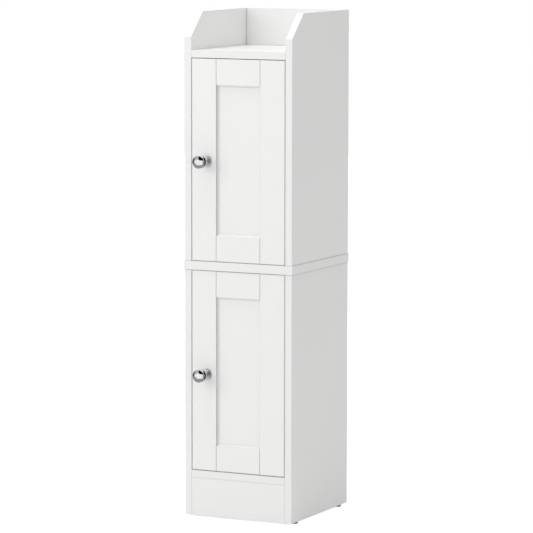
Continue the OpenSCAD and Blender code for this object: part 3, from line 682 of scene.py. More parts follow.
class Finishes:
    """Every finish of the cabinet, built once."""

    def __init__(self) -> None:
        """Builds every finish."""
        effects = EffectLibrary()
        kinds = [
            WhiteSurface(
                Slot.BOARD, srgb(240, 240, 239), clean=0.38, dulled=0.5,
                grain_scale=1500.0, grain_depth=0.02 * MM,
            ),
            WhiteSurface(
                Slot.DOOR, srgb(241, 241, 240), clean=0.3, dulled=0.42,
                grain_scale=620.0, grain_depth=0.015 * MM,
                # The doors take a much stronger painted shade in their recess grooves and gaps.
                painted_shade_onset=0.62, painted_shade_amount=1.0, painted_shade_colour=srgb(40, 39, 37),
            ),
            WhiteSurface(
                Slot.BACK, srgb(236, 236, 234), clean=0.45, dulled=0.6,
                grain_scale=900.0, grain_depth=0.03 * MM,
            ),
            PlatedMetal(
                Slot.CHROME, srgb(238, 239, 240), srgb(228, 229, 230), clean=0.02, dulled=0.06,
                marks_scale=120.0, grain_scale=900.0, grain_depth=0.0005 * MM,
            ),
            PlatedMetal(
                Slot.STEEL, srgb(196, 197, 198), srgb(176, 176, 174), clean=0.22, dulled=0.38,
                marks_scale=90.0, grain_scale=1400.0, grain_depth=0.02 * MM,
            ),
            MouldedPlastic(
                Slot.GREY_PLASTIC, srgb(112, 113, 116), srgb(150, 150, 150), clean=0.45, dulled=0.6,
            ),
            MouldedPlastic(
                Slot.WHITE_PLASTIC, srgb(236, 236, 232), srgb(222, 220, 214), clean=0.35, dulled=0.5,
            ),
            SinteredMagnet(),
            BareBeech(),
        ]
        self.by_slot = {kind.slot: kind.material(effects) for kind in kinds}
        self.core = PressedChips().material(effects)

    def __getitem__(self, slot: Slot) -> bpy.types.Material:
        """The finish that belongs to a material slot."""
        return self.by_slot[slot]


def arc(centre: tuple[float, float], radius: float, start: float, end: float, steps: int) -> Profile:
    """Points along an arc, from one angle to another in degrees."""
    angles = [math.radians(start + (end - start) * step / steps) for step in range(steps + 1)]
    return [(centre[0] + radius * math.cos(a), centre[1] + radius * math.sin(a)) for a in angles]


def turned(profile: Profile, around: int, place: Matrix | None = None, mesh: Mesh | None = None) -> Mesh:
    """Turns a profile about an axis.

    Args:
        profile: Radius and height of each point, from one end of the axis to the other.
        around: Number of segments round the axis.
        place: Turns the local +Z axis to where the piece stands, or None for the axis as it is.
        mesh: The mesh that takes the faces, or None for a new one.

    Returns:
        The mesh.
    """
    mesh = bmesh.new() if mesh is None else mesh
    place = Matrix.Identity(4) if place is None else place
    angles = [2 * math.pi * step / around for step in range(around)]
    rings = []
    for radius, height in profile:
        if radius < ON_AXIS:
            rings.append([mesh.verts.new(place @ Vector((0, 0, height)))])
            continue
        points = [Vector((radius * math.cos(a), radius * math.sin(a), height)) for a in angles]
        rings.append([mesh.verts.new(place @ point) for point in points])
    for below, above in zip(rings, rings[1:]):
        for step in range(around):
            after = (step + 1) % around
            picks = ((below, step), (below, after), (above, after), (above, step))
            corners = list(dict.fromkeys(ring[index % len(ring)] for ring, index in picks))
            if len(corners) > 2:
                mesh.faces.new(corners)
    return mesh


def finished_piece(name: str, mesh: Mesh, body: str, slot: Slot, finishes: Finishes,
                   nodes: tuple[str, ...] = (), sharp_angle: float = 32.0,
                   flat: set[bmesh.types.BMFace] | None = None) -> bpy.types.Object:
    """Turns a mesh into a piece that rides on a body.

    Args:
        name: The piece's name.
        mesh: Its mesh, in the row frame, which is freed.
        body: The body that it rides on.
        slot: The material slot that it takes its finish from.
        finishes: The cabinet's finishes.
        nodes: CAD nodes that it stands for.
        sharp_angle: Edges that turn by more than this many degrees stay sharp.
        flat: Faces that keep their own flat shading.

    Returns:
        The new object.
    """
    if flat is None:
        bmesh.ops.recalc_face_normals(mesh, faces=mesh.faces)
    for face in mesh.faces:
        face.smooth = True
    for edge in mesh.edges:
        edge.smooth = edge.is_manifold and edge.calc_face_angle(0.0) < math.radians(sharp_angle)
        if flat and any(face in flat for face in edge.link_faces):
            edge.smooth = False
    data = bpy.data.meshes.new(name)
    mesh.to_mesh(data)
    mesh.free()
    piece = bpy.data.objects.new(name, data)
    bpy.context.scene.collection.objects.link(piece)
    data.materials.append(finishes[slot])
    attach(piece, body)
    if nodes:
        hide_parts(*nodes)
    log.info("piece %s on %s, %d faces", name, body, len(data.polygons))
    return piece


@dataclass
class Knob:
    """Mushroom knob on its stepped rosette, turned about the axis that leaves the door."""

    half: Half
    neck_radius: float = 4.5 * MM
    foot_radius: float = 6.1 * MM
    foot_height: float = 3.5 * MM
    foot_steps: int = 6
    flare_radius: float = 7.0 * MM
    flare_drop: float = 1.0 * MM
    head_thickness: float = 14.0 * MM
    edge_round: float = 0.9 * MM
    waist_turn: float = 70.0
    face_radius: float = 30.0 * MM
    face_steps: int = 16
    lip_thickness: float = 1.8 * MM
    lip_width: float = 2.6 * MM
    lip_round: float = 1.5 * MM
    groove_width: float = 0.8 * MM
    groove_depth: float = 0.5 * MM
    dome_round: float = 2.6 * MM
    bore_radius: float = 2.05 * MM
    around: int = 96

    def node(self, part: str) -> str:
        """Full name of one of this half's nodes."""
        return f"{self.half.value}_{part}"

    def axis(self, part: str) -> tuple[Matrix, float, float]:
        """Where a turned node stands.

        Args:
            part: knob or rosette.

        Returns:
            The matrix that turns +Z out of the door at the node's foot, the node's radius
            and its length.
        """
        low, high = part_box(self.node(part))
        middle = (low + high) / 2
        foot = Matrix.Translation((middle.x, high.y, middle.z))
        return foot @ Matrix.Rotation(math.pi / 2, 4, "X"), (high.x - low.x) / 2, high.y - low.y

    def neck_profile(self, head: float) -> Profile:
        """Outline of the knob's foot and neck.

        Args:
            head: Height at which the head starts.

        Returns:
            The outline, from the middle of the foot to under the head.
        """
        outline = [(0.0, 0.0), (self.foot_radius, 0.0)]
        for step in range(1, self.foot_steps + 1):
            share = step / self.foot_steps
            radius = self.neck_radius + (self.foot_radius - self.neck_radius) * (1 - share) ** 2
            outline.append((radius, self.foot_height * step / self.foot_steps))
        bend = (self.neck_radius + self.flare_radius, head - self.flare_radius - self.flare_drop)
        return outline + arc(bend, self.flare_radius, 180, 118, 10)

    def head_profile(self, radius: float, length: float) -> Profile:
        """Outline of the knob from its foot to the middle of its face.

        Args:
            radius: Radius of the knob's head.
            length: How far the knob stands out.

        Returns:
            The outline, whose head has a hollow waist between its two rounded edges.
        """
        head = length - self.head_thickness
        flat = radius - self.edge_round
        tilt = math.asin(flat / (self.face_radius - self.edge_round))
        rim = length - self.face_radius + (self.face_radius - self.edge_round) * math.cos(tilt)
        turn = self.waist_turn
        lean, rise = math.cos(math.radians(turn)), math.sin(math.radians(turn))
        low, high = head + self.edge_round * (1 + rise), rim - self.edge_round * rise
        bend = (high - low) / 2 / rise
        hollow = (flat + (self.edge_round + bend) * lean, (low + high) / 2)
        back_edge = arc((flat, head + self.edge_round), self.edge_round, -60, turn, 12)
        waist = arc(hollow, bend, 180 + turn, 180 - turn, 20)
        front_edge = arc((flat, rim), self.edge_round, -turn, 90 - math.degrees(tilt), 14)
        dome_radius = flat + self.edge_round * math.sin(tilt)
        dome = []
        for step in range(1, self.face_steps + 1):
            out = dome_radius * (1 - step / self.face_steps)
            dome.append((out, length - (self.face_radius - math.sqrt(self.face_radius**2 - out**2))))
        return self.neck_profile(head) + back_edge + waist[1:-1] + front_edge + dome

    def rosette_profile(self, radius: float, length: float) -> Profile:
        """Outline of the rosette.

        Args:
            radius: Radius of the rosette.
            length: Its thickness.

        Returns:
            The outline, from the bore on the door to the bore under the knob and back.
        """
        lip = radius - self.lip_width
        dome = lip - self.groove_width
        lip_bend = (radius - self.lip_round, self.lip_thickness - self.lip_round)
        dome_bend = (dome - self.dome_round, length - self.dome_round)
        profile = [(self.bore_radius, 0.0), (radius, 0.0)] + arc(lip_bend, self.lip_round, 0, 90, 8)
        profile += [
            (lip, self.lip_thickness),
            ((lip + dome) / 2, self.lip_thickness - self.groove_depth),
            (dome, self.lip_thickness),
        ]
        profile += arc(dome_bend, self.dome_round, 0, 90, 10)
        return profile + [(self.bore_radius, length), (self.bore_radius, 0.0)]

    def build(self, finishes: Finishes) -> None:
        """Makes the knob and its rosette.

        Args:
            finishes: The cabinet's finishes.
        """
        for part, outline in (("knob", self.head_profile), ("rosette", self.rosette_profile)):
            place, radius, length = self.axis(part)
            mesh = turned(outline(radius, length), self.around, place)
            bmesh.ops.remove_doubles(mesh, verts=mesh.verts, dist=WELD)
            name = f"{self.node(part)}_turned"
            finished_piece(name, mesh, self.half.door_body, Slot.CHROME, finishes, (self.node(part),))


def welded_node(name: str) -> Mesh:
    """Copies a CAD node's mesh with the vertices that its hard edges split joined again.

    Args:
        name: The node's name.

    Returns:
        The copy.
    """
    mesh = bmesh.new()
    mesh.from_mesh(frame["nodes"][name].data)
    bmesh.ops.remove_doubles(mesh, verts=mesh.verts, dist=WELD)
    return mesh


def carved(first: Mesh, second: Mesh, operation: str) -> Mesh:
    """Cuts one closed mesh with another.

    Args:
        first: The mesh that is cut, which is freed.
        second: The mesh that cuts it, which is freed.
        operation: INTERSECT keeps what lies inside the second mesh, DIFFERENCE the rest.

    Returns:
        The cut mesh.
    """
    holders = []
    for index, mesh in enumerate((first, second)):
        data = bpy.data.meshes.new(f"blank_{index}")
        mesh.to_mesh(data)
        mesh.free()
        holder = bpy.data.objects.new(data.name, data)
        bpy.context.scene.collection.objects.link(holder)
        holders.append(holder)
    cut = holders[0].modifiers.new("cut", "BOOLEAN")
    cut.operation = operation
    cut.solver = "EXACT"
    cut.object = holders[1]
    evaluated = holders[0].evaluated_get(bpy.context.evaluated_depsgraph_get())
    result = bmesh.new()
    result.from_mesh(evaluated.to_mesh())
    evaluated.to_mesh_clear()
    for holder in holders:
        data = holder.data
        bpy.data.objects.remove(holder)
        bpy.data.meshes.remove(data)
    return result


@dataclass
class FacedBoard:
    """Board with faced sides and eased edges, and bare chips inside its bores and rabbets.

    A face of the cut board is faced where it looks the way of one of the blank's sides
    and lies within the eased depth of it.
    """

    node: str
    body: str = "root"
    ease: float = 0.5 * MM
    segments: int = 3
    spare: float = 0.01 * MM
    same_way: float = 0.2
    near: float = 1.2
    level_within: float = 1.0

    def blank(self, node: Mesh) -> tuple[Mesh, list[tuple[Vector, Vector]]]:
        """Makes the board's eased blank, without its bores and rabbets.

        Args:
            node: The CAD node's mesh.

        Returns:
            The blank, and a point and the normal of each of its flat sides.
        """
        blank = node.copy()
        hull = bmesh.ops.convex_hull(blank, input=blank.verts, use_existing_faces=False)
        left_over = hull["geom_interior"] + hull["geom_unused"]
        loose = {item for item in left_over if isinstance(item, bmesh.types.BMVert)}
        bmesh.ops.delete(blank, geom=list(loose), context="VERTS")
        kept = {item for item in hull["geom"] if isinstance(item, bmesh.types.BMFace)}
        bmesh.ops.delete(blank, geom=[face for face in blank.faces if face not in kept], context="FACES")
        level = math.radians(self.level_within)
        bmesh.ops.dissolve_limit(blank, angle_limit=level, verts=blank.verts, edges=blank.edges)
        bmesh.ops.recalc_face_normals(blank, faces=blank.faces)
        sides = [(face.calc_center_median(), face.normal.copy()) for face in blank.faces]
        low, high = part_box(self.node)
        middle = (low + high) / 2
        for vert in blank.verts:
            for axis in range(3):
                vert.co[axis] += math.copysign(self.spare, vert.co[axis] - middle[axis])
        bmesh.ops.bevel(
            blank, geom=blank.edges[:], offset=self.ease, offset_type="OFFSET", segments=self.segments,
            profile=0.5, affect="EDGES", clamp_overlap=True,
        )
        return blank, sides

    def build(self, finishes: Finishes) -> None:
        """Makes the board.

        Args:
            finishes: The cabinet's finishes.
        """
        node = welded_node(self.node)
        blank, sides = self.blank(node)
        board = carved(blank, node, "INTERSECT")
        bmesh.ops.remove_doubles(board, verts=board.verts, dist=WELD)
        bmesh.ops.recalc_face_normals(board, faces=board.faces)
        flat = set()
        for face in board.faces:
            middle = face.calc_center_median()
            outside = [
                normal for point, normal in sides
                if face.normal.dot(normal) > self.same_way
                and abs((middle - point).dot(normal)) < self.near * self.ease
            ]
            face.material_index = 0 if outside else 1
            if any(face.normal.dot(normal) > PARALLEL for normal in outside):
                flat.add(face)
        name = f"{self.node}_faced"
        piece = finished_piece(name, board, self.body, Slot.BOARD, finishes, (self.node,), flat=flat)
        piece.data.materials.append(finishes.core)


class Facing(Enum):
    """Where the heads of a node's fasteners point while the doors are closed."""

    INWARD = "inward"
    BACK = "back"
    DOWN = "down"
    ALONG = "along"

    def direction(self, middle: Vector, size: Vector) -> Vector:
        """Direction of one fastener's head.

        Args:
            middle: The middle of the fastener.
            size: Its extents.

        Returns:
            A unit vector from its tip to its head.
        """
        if self is Facing.INWARD:
            return Vector((-math.copysign(1.0, middle.x), 0.0, 0.0))
        if self is Facing.BACK:
            return Vector((0.0, 1.0, 0.0))
        if self is Facing.DOWN:
            return Vector((0.0, 0.0, -1.0))
        return Vector([1.0 if extent == max(size) else 0.0 for extent in size])


def islands(name: str) -> list[tuple[Vector, Vector]]:
    """Finds the separate solids of a CAD node.

    Args:
        name: The node's name.

    Returns:
        The lowest and highest corners of each solid.
    """
    mesh = welded_node(name)
    boxes = []
    left = set(mesh.verts)
    for first in mesh.verts:
        if first not in left:
            continue
        left.remove(first)
        group, waiting = [first], [first]
        while waiting:
            vert = waiting.pop()
            for edge in vert.link_edges:
                other = edge.other_vert(vert)
                if other in left:
                    left.remove(other)
                    group.append(other)
                    waiting.append(other)
        places = [vert.co for vert in group]
        low = Vector([min(place[axis] for place in places) for axis in range(3)])
        high = Vector([max(place[axis] for place in places) for axis in range(3)])
        boxes.append((low, high))
    mesh.free()
    return boxes


def threaded_rod(radius: float, depth: float, pitch: float, bottom: float, top: float,
                 tip: float, around: int = 14) -> Mesh:
    """Makes a rod with a single-start thread that runs out at both ends.

    Args:
        radius: Crest radius of the thread.
        depth: Depth of the thread.
        pitch: Its rise in one turn.
        bottom: Height of the rod's lower end.
        top: Height of its upper end.
        tip: Height of a pointed tip below the lower end, or 0 for a flat end.
        around: Number of segments round the axis.

    Returns:
        The closed rod, along +Z.
    """
    mesh = bmesh.new()
    turns = int((top - bottom) / pitch) + 1
    rows = []
    for step in range(-around, turns * around + 1):
        angle = 2 * math.pi * step / around
        base = bottom + pitch * step / around
        row = []
        for share, crest in THREAD_FORM:
            height = base + share * pitch
            fade = min(1.0, max(0.0, (height - bottom) / pitch), max(0.0, (top - height) / pitch))
            out = radius - depth * (1 - crest * fade)
            level = min(max(height, bottom), top)
            row.append(mesh.verts.new((out * math.cos(angle), out * math.sin(angle), level)))
        rows.append(row)
    for row, after in zip(rows, rows[1:]):
        for index in range(len(THREAD_FORM) - 1):
            mesh.faces.new((row[index], after[index], after[index + 1], row[index + 1]))
    bmesh.ops.remove_doubles(mesh, verts=mesh.verts, dist=WELD)
    bmesh.ops.dissolve_degenerate(mesh, dist=WELD, edges=mesh.edges)
    rims = [edge for edge in mesh.edges if edge.is_boundary]
    ends = bmesh.ops.holes_fill(mesh, edges=rims, sides=0)["faces"]
    for face in ends:
        if tip and face.calc_center_median().z < (bottom + top) / 2:
            point = bmesh.ops.poke(mesh, faces=[face])["verts"][0]
            point.co.z -= tip
            break
    return mesh


def cross_cutter(reach: float, width: float, depth: float) -> Mesh:
    """Makes the tapered cross that a driver's recess is cut with.

    Args:
        reach: From the middle to the end of each arm.
        width: Width of each arm.
        depth: Depth of the recess below z = 0, and height of the cutter above it.

    Returns:
        The closed cutter.
    """
    mesh = bmesh.new()
    layers = []
    for rise, long, wide in CROSS_LAYERS:
        layer = []
        for quarter in range(4):
            turn = Matrix.Rotation(quarter * math.pi / 2, 3, "Z")
            half = wide * width / 2
            for corner in ((half, -half), (reach * long, -half), (reach * long, half)):
                layer.append(mesh.verts.new(turn @ Vector((*corner, rise * depth))))
        layers.append(layer)
    upper, lower = layers
    for index in range(len(upper)):
        after = (index + 1) % len(upper)
        mesh.faces.new((upper[index], upper[after], lower[after], lower[index]))
    mesh.faces.new(upper)
    mesh.faces.new(list(reversed(lower)))
    bmesh.ops.recalc_face_normals(mesh, faces=mesh.faces)
    return mesh


@dataclass
class Fasteners:
    """Small parts of one CAD node, each made anew in the place of its own solid."""

    node: str
    facing: Facing
    body: str = "root"
    slot: Slot = Slot.STEEL
    around: int = 32

    def solid(self, radius: float, length: float) -> Mesh:
        """Makes one part along +Z, with its tip at the origin."""
        raise NotImplementedError

    def build(self, finishes: Finishes) -> None:
        """Makes every part of the node as one piece.

        Args:
            finishes: The cabinet's finishes.
        """
        whole = bmesh.new()
        made: dict[tuple[float, float], bpy.types.Mesh] = {}
        for low, high in islands(self.node):
            middle, size = (low + high) / 2, high - low
            out = self.facing.direction(middle, size)
            length = abs(size.dot(out))
            radius = max(extent for extent, share in zip(size, out) if not share) / 2
            key = (round(radius, SIZE_DIGITS), round(length, SIZE_DIGITS))
            if key not in made:
                one = self.solid(radius, length)
                made[key] = bpy.data.meshes.new("template")
                one.to_mesh(made[key])
                one.free()
            turn = out.to_track_quat("Z", "Y").to_matrix().to_4x4()
            place = Matrix.Translation(middle - out * length / 2) @ turn
            before = len(whole.verts)
            whole.from_mesh(made[key])
            whole.verts.ensure_lookup_table()
            bmesh.ops.transform(whole, matrix=place, verts=whole.verts[before:])
        for template in made.values():
            bpy.data.meshes.remove(template)
        finished_piece(f"{self.node}_made", whole, self.body, self.slot, finishes, (self.node,))


@dataclass
class Screws(Fasteners):
    """Wood screws with a thread and, where they have a head, a domed one with a cross recess."""

    around: int = 40
    thread_radius: float = 1.6 * MM
    thread_depth: float = 0.45 * MM
    pitch: float = 1.1 * MM
    head_height: float = 1.8 * MM
    head_spare: float = 0.3 * MM
    point: float = 2.6 * MM
    recess_reach: float = 0.62
    recess_width: float = 0.85 * MM
    recess_depth: float = 1.1 * MM
    slot_width: float = 0.6 * MM
    slot_height: float = 1.6 * MM
    crown_share: float = 0.45
    crown_power: float = 0.7
    rim: float = 0.2 * MM
    overlap: float = 0.1 * MM

    def solid(self, radius: float, length: float) -> Mesh:
        """Makes one screw along +Z, with its tip at the origin.

        Args:
            radius: Radius of the head, or of the thread where there is no head.
            length: Length of the screw.

        Returns:
            The screw.
        """
        if radius < self.thread_radius + self.head_spare:
            rod = threaded_rod(radius, self.thread_depth, self.pitch, 0.0, length, 0.0)
            return carved(rod, self.slot_cutter(radius, length), "DIFFERENCE")
        seat = length - self.head_height
        cutter = cross_cutter(self.recess_reach * radius, self.recess_width, self.recess_depth)
        bmesh.ops.translate(cutter, verts=cutter.verts, vec=(0.0, 0.0, length))
        screw = carved(self.head(radius, seat, length), cutter, "DIFFERENCE")
        rod = threaded_rod(
            self.thread_radius, self.thread_depth, self.pitch, self.point, seat + self.overlap, self.point
        )
        shank = bpy.data.meshes.new("shank")
        rod.to_mesh(shank)
        rod.free()
        screw.from_mesh(shank)
        bpy.data.meshes.remove(shank)
        return screw

    def head(self, radius: float, seat: float, top: float) -> Mesh:
        """Makes the domed head, without its recess.

        Args:
            radius: Radius of the head.
            seat: Height of its underside.
            top: Height of its crown.

        Returns:
            The closed head.
        """
        rise = self.crown_share * self.head_height
        profile = [(0.0, seat), (radius - self.rim, seat), (radius, seat + self.rim)]
        for angle in range(0, 90, 9):
            out = radius * math.cos(math.radians(angle)) ** self.crown_power
            profile.append((out, top - rise + rise * math.sin(math.radians(angle))))
        head = turned(profile + [(0.0, top)], self.around)
        bmesh.ops.recalc_face_normals(head, faces=head.faces)
        return head

    def slot_cutter(self, radius: float, length: float) -> Mesh:
        """Makes the cutter for the slot in the end of a headless screw.

        Args:
            radius: Radius of the screw.
            length: Height of its end.

        Returns:
            The closed cutter.
        """
        cutter = bmesh.new()
        bmesh.ops.create_cube(cutter, size=1.0)
        bmesh.ops.scale(cutter, verts=cutter.verts, vec=(3 * radius, self.slot_width, self.slot_height))
        bmesh.ops.translate(cutter, verts=cutter.verts, vec=(0.0, 0.0, length))
        return cutter


@dataclass
class MachineScrews(Screws):
    """Screws with a fine metal thread and a blunt end."""

    thread_radius: float = 2.0 * MM
    thread_depth: float = 0.3 * MM
    pitch: float = 0.8 * MM
    point: float = 0.4 * MM
    recess_width: float = 1.1 * MM


@dataclass
class BackNails(Fasteners):
    """Wire nails with a flat head and a diamond point."""

    around: int = 24
    shank_radius: float = 0.7 * MM
    point: float = 2.2 * MM
    flare: float = 0.4 * MM
    head_thickness: float = 0.8 * MM
    head_round: float = 0.3 * MM
    fillet: float = 0.3 * MM
    flat_share: float = 0.6
    dimple: float = 0.08 * MM

    def solid(self, radius: float, length: float) -> Mesh:
        """Makes one nail along +Z, with its tip at the origin.

        Args:
            radius: Radius of the head.
            length: Length of the nail.

        Returns:
            The nail.
        """
        seat = length - self.head_thickness
        profile = [(0.0, 0.0), (self.shank_radius, self.point), (self.shank_radius, seat - self.flare)]
        profile += [(self.shank_radius + self.fillet, seat), (radius, seat)]
        profile += arc((radius - self.head_round, length - self.head_round), self.head_round, 0, 80, 4)
        profile += [(self.flat_share * radius, length), (0.0, length - self.dimple)]
        return turned(profile, self.around)


@dataclass
class ShelfPins(Fasteners):
    """Shelf pins with a flange against the panel and rounded ends."""

    pin_radius: float = 2.5 * MM
    pin_in: float = 8.0 * MM
    flange: float = 1.2 * MM
    flange_round: float = 0.4 * MM
    fillet: float = 0.2 * MM
    end_round: float = 1.0 * MM

    def solid(self, radius: float, length: float) -> Mesh:
        """Makes one pin along +Z, with its buried end at the origin.

        Args:
            radius: Radius of the flange.
            length: Length of the pin.

        Returns:
            The pin.
        """
        inner = self.pin_radius - self.end_round
        face = self.pin_in + self.flange
        flange_bend = (radius - self.flange_round, face - self.flange_round)
        profile = [(0.0, 0.0)] + arc((inner, self.end_round), self.end_round, -90, 0, 5)
        profile += [(self.pin_radius, self.pin_in), (radius - self.fillet, self.pin_in)]
        profile += arc(flange_bend, self.flange_round, 0, 90, 5)
        profile += [(self.pin_radius + self.fillet, face), (self.pin_radius, face + self.fillet)]
        profile += arc((inner, length - self.end_round), self.end_round, 0, 90, 5) + [(0.0, length)]
        return turned(profile, self.around)


@dataclass
class Dowels(Fasteners):
    """Fluted dowels with chamfered ends."""

    slot: Slot = Slot.BEECH
    flutes: int = 18
    flute_depth: float = 0.25 * MM
    chamfer: float = 1.0 * MM
    rim: float = 0.1 * MM

    def solid(self, radius: float, length: float) -> Mesh:
        """Makes one dowel along +Z, with an end at the origin.

        Args:
            radius: Radius of the dowel.
            length: Its length.

        Returns:
            The dowel.
        """
        small = radius - self.chamfer
        profile = [(0.0, 0.0), (small, 0.0), (radius, self.chamfer), (radius, length - self.chamfer)]
        mesh = turned(profile + [(small, length), (0.0, length)], 4 * self.flutes)
        for vert in mesh.verts:
            out = math.hypot(vert.co.x, vert.co.y)
            if out > radius - self.rim:
                angle = math.atan2(vert.co.y, vert.co.x) * self.flutes
                ease = self.flute_depth * (0.5 - 0.5 * math.cos(angle)) / out
                vert.co.x *= 1 - ease
                vert.co.y *= 1 - ease
        return mesh


@dataclass
class CamBolts(Fasteners):
    """Bolts that the cams pull on: round head, neck, shaft, collar and a wood thread."""

    head_radius: float = 3.3 * MM
    head_length: float = 3.0 * MM
    head_round: float = 1.2 * MM
    neck_radius: float = 2.0 * MM
    neck_length: float = 3.0 * MM
    neck_fillet: float = 0.2 * MM
    shaft_radius: float = 3.0 * MM
    shaft_ease: float = 0.5 * MM
    thread_radius: float = 2.5 * MM
    thread_depth: float = 0.6 * MM
    thread_length: float = 10.0 * MM
    pitch: float = 1.6 * MM
    point: float = 1.0 * MM
    lead_in: float = 0.2 * MM

    def shaft(self, bottom: float, top: float) -> Profile:
        """Outline of the shaft, neck and head between two heights.

        Args:
            bottom: Height of the shaft's foot.
            top: Height of the head's crown.

        Returns:
            The outline, from the axis back to the axis.
        """
        head = top - self.head_length
        neck = head - self.neck_length
        ease = self.shaft_ease
        head_bend = (self.head_radius - self.head_round, top - self.head_round)
        outline = [(0.0, bottom), (self.shaft_radius, bottom), (self.shaft_radius, neck - ease)]
        outline += [(self.shaft_radius - ease, neck), (self.neck_radius, neck + self.neck_fillet)]
        outline += [(self.neck_radius, head)]
        outline += arc((self.head_radius - ease, head + ease), ease, -90, 0, 4)
        return outline + arc(head_bend, self.head_round, 0, 90, 6) + [(0.0, top)]

    def solid(self, radius: float, length: float) -> Mesh:
        """Makes one bolt along +Z, with its threaded end at the origin.

        Args:
            radius: Radius of the head; not used, as the head takes its own radius.
            length: Length of the bolt.

        Returns:
            The bolt.
        """
        rod = threaded_rod(
            self.thread_radius, self.thread_depth, self.pitch, self.point + self.lead_in,
            self.thread_length + self.lead_in, self.point,
        )
        return turned(self.shaft(self.thread_length, length), self.around, mesh=rod)


@dataclass
class PlankBolts(CamBolts):
    """Bolts with a head for a cam at each end, which run through the plank."""

    def solid(self, radius: float, length: float) -> Mesh:
        """Makes one bolt along +Z, with an end at the origin.

        Args:
            radius: Radius of the heads; not used, as the heads take their own radius.
            length: Length of the bolt.

        Returns:
            The bolt.
        """
        half = self.shaft(length / 2, length)[1:]
        mirrored = [(out, length - height) for out, height in reversed(half)]
        return turned(mirrored[:-1] + half[1:], self.around)


@dataclass
class FloorGlides(Fasteners):
    """Nail-on plastic glides with a rounded foot."""

    slot: Slot = Slot.GREY_PLASTIC
    around: int = 64
    foot_height: float = 4.0 * MM
    foot_round: float = 1.6 * MM
    foot_ease: float = 0.3 * MM
    nail_radius: float = 1.1 * MM
    nail_point: float = 3.0 * MM

    def solid(self, radius: float, length: float) -> Mesh:
        """Makes one glide along +Z, with the nail's tip at the origin.

        Args:
            radius: Radius of the foot.
            length: Length of the glide with its nail.

        Returns:
            The glide.
        """
        top = length - self.foot_height
        profile = [(0.0, 0.0), (self.nail_radius, self.nail_point), (self.nail_radius, top)]
        profile += [(radius - self.foot_ease, top), (radius, top + self.foot_ease)]
        profile += arc((radius - self.foot_round, length - self.foot_round), self.foot_round, 0, 90, 10)
        profile += [(0.0, length)]
        return turned(profile, self.around)


@dataclass
class PressedParts:
    """Pressed or moulded parts of one CAD node, with their long sharp edges eased."""

    node: str
    slot: Slot
    body: str = "root"
    ease: float = 0.25 * MM
    segments: int = 2
    sharp: float = 40.0
    shortest: float = 1.2 * MM
    level_within: float = 0.5

    def is_sharp(self, edge: bmesh.types.BMEdge) -> bool:
        """Whether an edge turns by more than the sharp angle."""
        return edge.calc_face_angle(0.0) > math.radians(self.sharp)

    def eased_edges(self, mesh: Mesh) -> list[bmesh.types.BMEdge]:
        """Sharp outward edges that are long enough to ease."""
        outward = [edge for edge in mesh.edges if edge.is_manifold and edge.is_convex]
        return [edge for edge in outward if self.is_sharp(edge) and edge.calc_length() > self.shortest]

    def build(self, finishes: Finishes) -> None:
        """Makes the node's parts as one piece.

        Args:
            finishes: The cabinet's finishes.
        """
        mesh = welded_node(self.node)
        level = math.radians(self.level_within)
        bmesh.ops.dissolve_limit(mesh, angle_limit=level, verts=mesh.verts, edges=mesh.edges)
        planes = [
            (face.calc_center_median(), face.normal.copy())
            for face in mesh.faces if all(self.is_sharp(edge) for edge in face.edges)
        ]
        bmesh.ops.bevel(
            mesh, geom=self.eased_edges(mesh), offset=self.ease, offset_type="OFFSET",
            segments=self.segments, profile=0.5, affect="EDGES", clamp_overlap=True, miter_outer="SHARP",
        )
        flat = set()
        for face in mesh.faces:
            middle = face.calc_center_median()
            for point, normal in planes:
                if face.normal.dot(normal) > PARALLEL and abs((middle - point).dot(normal)) < WELD:
                    flat.add(face)
        finished_piece(f"{self.node}_eased", mesh, self.body, self.slot, finishes, (self.node,), flat=flat)


@dataclass
class PackedNodes:
    """Dresses the CAD nodes that are shown as they are."""

    finishes: Finishes

    def dress(self) -> None:
        """Gives each shown node the finish of its slot in the record."""
        slots = {part["node"]: Slot(part["material_slot"]) for part in frame["record"]["subparts"]}
        for name, node in frame["nodes"].items():
            if node.hide_render:
                continue
            for holder in node.material_slots:
                holder.material = self.finishes[slots[name]]
            log.info("node %s in %s", name, slots[name].value)


@dataclass(frozen=True)
class MirrorCard:
    """Part of the studio that only mirrors show, such as the dark room beyond the lamps.

    Azimuths turn from straight in front of the doors towards the right, in degrees.
    """

    azimuth: float
    elevation: float
    half_width: float
    half_height: float
    level: float
    squareness: float = 2.5
    rim: tuple[float, float] = (0.85, 1.15)

    def axes(self) -> tuple[Vector, Vector, Vector]:
        """Finds how the card stands.

        Returns:
            Unit vectors towards the card's middle, its right and its top.
        """
        turn, rise = math.radians(self.azimuth), math.radians(self.elevation)
        out = math.cos(rise)
        middle = Vector((math.sin(turn) * out, -math.cos(turn) * out, math.sin(rise)))
        right = Vector((math.cos(turn), math.sin(turn), 0.0))
        return middle, right, middle.cross(right)

    def reach(self, sketch: Sketch, offset: Socket, half_angle: float) -> Socket:
        """How far a direction lies from the middle, as a power of its share of the half angle."""
        share = sketch.math("DIVIDE", offset, math.sin(math.radians(half_angle)))
        return sketch.math("POWER", sketch.math("ABSOLUTE", share), self.squareness)

    def over(self, sketch: Sketch, direction: Socket, behind: Socket) -> Socket:
        """Lays the card over what lies behind it.

        Args:
            sketch: The sky's tree.
            direction: The direction that is looked in.
            behind: Brightness behind the card.

        Returns:
            The brightness with the card in place.
        """
        middle, right, top = self.axes()
        ahead = sketch.math("GREATER_THAN", sketch.dot(direction, middle), 0.0)
        across = self.reach(sketch, sketch.dot(direction, right), self.half_width)
        upward = self.reach(sketch, sketch.dot(direction, top), self.half_height)
        inside = sketch.remap(sketch.math("ADD", across, upward), *self.rim, 1.0, 0.0)
        return sketch.fade(sketch.math("MULTIPLY", inside, ahead), behind, self.level)


